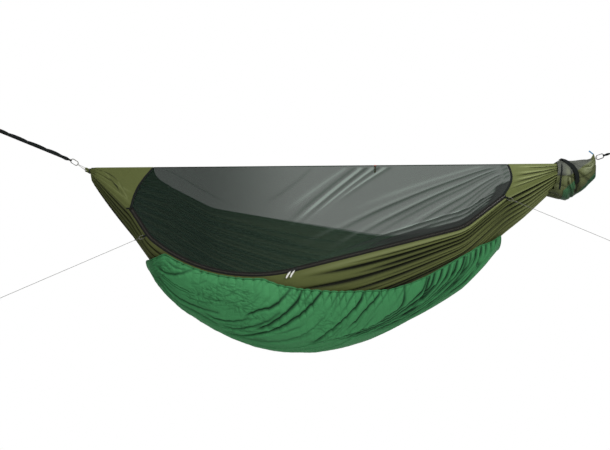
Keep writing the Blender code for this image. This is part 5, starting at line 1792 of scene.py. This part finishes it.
# %% Stuff sack
# The sack's rings from its neck to its mouth, in millimetres: x and z of the top and of the
# lowest point, half the width, and how far the ring stands off to the far side.
SACK_RINGS = np.array(((1500, 54, 1508, 18, 17, 0), (1485, 30, 1516, -12, 24, 0),
                       (1450, 20, 1512, -76, 44, 3), (1405, 13.5, 1464, -133, 62, 10),
                       (1360, 17, 1402, -192, 76, 18), (1327, 24, 1354, -216, 88, 24),
                       (1293, 4, 1262, -192, 86, 20))) / 1000


def sack_point(t, angle, lift=0.0):
    """The sack's skin: t runs from the neck to the mouth, the angle from the top."""
    t, angle = np.broadcast_arrays(np.asarray(t, float), np.asarray(angle, float))
    k = t * (len(SACK_RINGS) - 1)
    x0, z0, x1, z1, half, across = (np.interp(k, range(len(SACK_RINGS)), column)
                                    for column in SACK_RINGS.T)
    top = np.stack([x0, 0 * x0, z0], -1)
    low = np.stack([x1, 0 * x0, z1], -1)
    crease = 1 + 0.05 * np.sin(5 * angle + 4 * t) * t
    stretch = np.linalg.norm(top - low, axis=-1) / 2
    point = (top + low) / 2
    point[..., 1] += across
    point += (top - low) / 2 * (np.cos(angle) * (1 + lift / stretch))[..., None]
    point[..., 1] -= (half * crease + lift) * np.sin(angle)
    return point


# How much cloth one unit of t and one radian are, in metres.
SACK_CUT = np.array((0.45, 0.080))
# Deep folds of the sack, as (t, degrees) from one end to the other, with depth and half width.
SACK_FOLDS = (((0.62, 60), (0.62, 90), (0.63, 120), (0.66, 155), 0.020, 0.017),
              ((0.70, 62), (0.72, 90), (0.70, 118), (0.66, 140), 0.010, 0.007),
              ((0.56, 70), (0.50, 95), (0.46, 120), (0.44, 150), 0.010, 0.008),
              ((0.52, 40), (0.42, 55), (0.30, 62), (0.20, 66), 0.007, 0.006),
              ((0.80, 80), (0.82, 100), (0.80, 125), (0.76, 150), 0.009, 0.006),
              ((0.40, 75), (0.32, 90), (0.24, 105), (0.18, 130), 0.006, 0.006),
              ((0.80, 96), (0.765, 118), (0.75, 138), (0.74, 160), 0.013, 0.009),
              ((0.96, 84), (0.98, 104), (0.985, 124), (0.97, 146), 0.008, 0.009))


def sack_crumple(t, angle):
    """Creases that run from the neck round the sack and soft dents, with painted shade and
    highlight.
    """
    way = (t * 0.6, np.sin(angle) * 0.25, np.cos(angle) * 0.25)
    dents = ripple(way, 5.0, 3.0) * 0.0090 + ripple(way, 13.0, 8.0) * 0.0040
    run = np.abs(np.sin(4.5 * angle + 5 * t + 2.0 * ripple(way, 3.0, 1.0)))
    rise = dents - 0.0050 * (1 - run) ** 3 * smooth_step(t, 0.05, 0.3)
    deep = 0.7 * (1 - run) ** 4 - 0.5 * np.clip(ripple(way, 9.0, 4.0) * 2.5 - 0.1, 0, 1)
    place = np.stack([t, angle], -1) * SACK_CUT
    for *route, depth, half in SACK_FOLDS:
        path = np.array([(s, math.radians(d)) for s, d in route]) * SACK_CUT
        cut = np.exp(-(path_gap(place, smooth_curve(path, closed=False))[0] / half) ** 1.6)
        rise = rise - depth * cut
        deep = np.maximum(deep, cut * min(1.0, (depth / 0.015) ** 1.5))
    # The front of each lobe catches the light and its lower side turns away from it.
    front = np.exp(-((angle - 1.25) / 0.40) ** 2)
    lobe = np.exp(-((t - 0.32) / 0.13) ** 2) + 0.6 * np.exp(-((t - 0.78) / 0.07) ** 2)
    away = smooth_step(angle, 1.75, 2.6) * smooth_step(t, 0.1, 0.3)
    return rise, deep + (deep < 0.3) * (0.50 * away - 0.75 * front * lobe)


TIPS_OUT = 0.040
TIPS_UP = 0.010


def sack_sheet(name, t0, t1, rows, material, lift=0.0, thickness=0.0010, **rest):
    t, angle = np.meshgrid(np.linspace(t0, t1, rows), np.linspace(0, 2 * math.pi, 121),
                           indexing="ij")
    rise, deep = sack_crumple(t, angle)
    rise[:, -1] = rise[:, 0]
    points = sack_point(t, angle, lift)
    away = unit(points - points.mean(axis=1, keepdims=True))
    points = points + away * rise[..., None]
    # The loose lower side of the mouth hangs out in a few tips.
    tips = smooth_step(t, 0.93, 1.0) * np.clip(np.cos(angle - 2.75), 0, 1) ** 3
    points[..., 0] -= TIPS_OUT * tips * (0.6 + 0.4 * np.cos(14 * angle))
    points[..., 2] += TIPS_UP * tips
    made = cloth(name, points, material, thickness, np.clip(deep, -1, 1), **rest)
    weld(made.data, 1e-6)


def sack_finish():
    """Three cloths sewn together: grey on top, olive in the middle, green below."""
    made = Finish("sack_panels")
    x, _, z = made.parts(made.place())
    _, _, lines = grid_threads(made)
    patches = made.cloud(8.0, 4.0)
    fine = made.cloud(60.0, 2.0)
    fold = made.fold()

    def under(start, slope, drop):
        """1 below a straight seam across the sack, else 0."""
        return ((x - start) * slope - drop - z).above(0)

    top = (z - ((x - 2.867) * 0.62 - 0.084).most(-0.103)).above(0) * (1 - x.above(2.962))
    left = under(2.7927, 0.85, 0.194) * x.above(2.800) * (1 - x.above(2.868))
    right = under(2.8825, 1.2, 0.216) * x.above(2.868)
    # The lower side's green is darker than the quilt's: its own green with painted shade in it.
    colour = made.mix(left.most(right), made.mix(top, OLIVE, GREY), (0.024, 0.125, 0.048))
    tint = made.mix(patches * 0.35 + fine * 0.1, colour, (0.035, 0.040, 0.025))
    grid = made.mix(lines * 0.2, tint, (0.30, 0.32, 0.22))
    # Painted highlight beside the folds, and painted shade in them.
    ridge = made.mix((fold * -1).most(0), grid, (0.30, 0.33, 0.20))
    return made.surface(Base_Color=made.mix(fold.most(0), ridge, (0.004, 0.005, 0.003)),
                        Roughness=0.5 + (patches - 0.5) * 0.2, Specular_IOR_Level=0.12,
                        Normal=made.bump(lines * 0.6 + fine * 0.8, 0.0012, 0.6))


sack_cloth = sack_finish()
sack_sheet("stuff_sack_shell", 0.0, 0.90, 70, sack_cloth, slot="olive_ripstop",
           nodes=("stuff_sack",))
sack_sheet("stuff_sack_hem", 0.902, 1.0, 12, sack_cloth, 0.0012, 0.0020, slot="green_ripstop",
           nodes=("sack_hem",))


def sack_strap(name, route, half_band, node):
    """Webbing laid on the sack along (t, degrees) stations."""
    stops = np.linspace(0.0, 1.0, len(route))
    places, degrees = np.array(route, float).T
    u, v = np.meshgrid(np.linspace(0, 1, 60), np.linspace(0, 1, 9), indexing="ij")
    slant = (np.interp(np.minimum(u + 0.05, 1), stops, places)
             - np.interp(np.maximum(u - 0.05, 0), stops, places))
    t = np.interp(u, stops, places) + (v - 0.5) * 2 * half_band
    angle = np.radians(np.interp(u, stops, degrees)) + (v - 0.5) * -6 * slant
    cloth(name, sack_point(t, angle, 0.0052), black_web, 0.0012, slot="black_webbing",
          nodes=(node,))


sack_strap("stuff_sack_strap", ((0.88, -10), (0.80, 10), (0.70, 30), (0.63, 48), (0.61, 64),
                                (0.61, 80), (0.62, 92), (0.63, 102)), 0.036, "sack_band")
sack_strap("stuff_sack_mouth_strap", ((0.90, 30), (0.92, 46), (0.935, 64), (0.94, 82),
                                      (0.945, 98), (0.945, 112)), 0.013, "sack_mouth_strap")
blue_grey = webbing("blue_grey_tape", (0.04, 0.16, 0.30), 0.0012, 0.007)
sack_loop_line = line_frame((2.959277, 0.0, 0.023698), (-0.80, 0, 0.60))
folded_tab("stuff_sack_loop", sack_loop_line, 0.012, 0.0235, 0.007, 0.0010, blue_grey,
           nodes=("sack_loop",))
print("stuff sack made")

# %% [markdown]
# The bed, the net and the end panels are flat cloth before they are gathered and hung.

# %% The sheets
print("sheets made")

# %% [markdown]
# The studio is a pale floor well below the hammock and a white surround. Where they are seen,
# straight or in a reflection, both are full white, but for an oval of floor that shows the
# hammock's shadow. They light the cloth less than that, and two lamps light it from above and in
# front.

# %% Floor, world and lamps


def stage_floor():
    made = Finish("studio_floor")
    glow = made.node("ShaderNodeEmission", Strength=1.0)
    x, y, _ = made.parts(made.place())
    far = ((x / 1.9) ** 2 + (y / 1.05) ** 2) ** 0.5
    smooth = {"interpolation_type": "SMOOTHSTEP"}
    share = made.seen() * made.node("ShaderNodeMapRange", smooth, far, 0.85, 1.35)
    blend = made.node("ShaderNodeMixShader", None, share, Wire(made, made.shader.outputs[0]), glow)
    made.plug(made.tree.nodes["Material Output"].inputs["Surface"], blend)
    return made.surface(Base_Color=(0.90, 0.90, 0.90), Roughness=0.9, Specular_IOR_Level=0.1)


FLOOR_DOWN = 2.45
floor_work = bmesh.new()
bmesh.ops.create_circle(floor_work, cap_ends=True, segments=96, radius=30.0)
floor_mesh = bpy.data.meshes.new("studio_floor")
floor_work.to_mesh(floor_mesh)
floor_work.free()
floor = new_object("studio_floor", floor_mesh)
floor.location = in_frame((0.0, 0.0, -FLOOR_DOWN))
floor_mesh.materials.append(stage_floor())

WORLD_LIGHT = 0.30
world = bpy.data.worlds.new("studio_surround")
bpy.context.scene.world = world
world.use_nodes = True
sky = Nodes(world.node_tree)
surround = sky.tree.nodes["Background"]
sky.plug(surround.inputs["Color"], (1.0, 1.0, 1.0))
sky.plug(surround.inputs["Strength"],
         sky.node("ShaderNodeMapRange", None, sky.seen(), To_Min=WORLD_LIGHT, To_Max=1.0))


def lamp(name, place, target, size, power):
    data = bpy.data.lights.new(name, "AREA")
    data.shape = "RECTANGLE"
    data.size, data.size_y = size
    data.energy = power
    made = new_object(name, data)
    made.location = in_frame(place)
    made.rotation_mode = "QUATERNION"
    made.rotation_quaternion = (in_frame(target) - made.location).to_track_quat("-Z", "Y")


lamp("key_lamp", (1.5, -4.0, 1.9), (0.2, 0.0, -0.35), (1.8, 1.2), 145.0)
lamp("top_lamp", (0.6, -0.6, 3.0), (0.1, 0.0, -0.3), (2.6, 1.0), 55.0)
bpy.context.scene.view_settings.view_transform = "Standard"
print("studio ready")
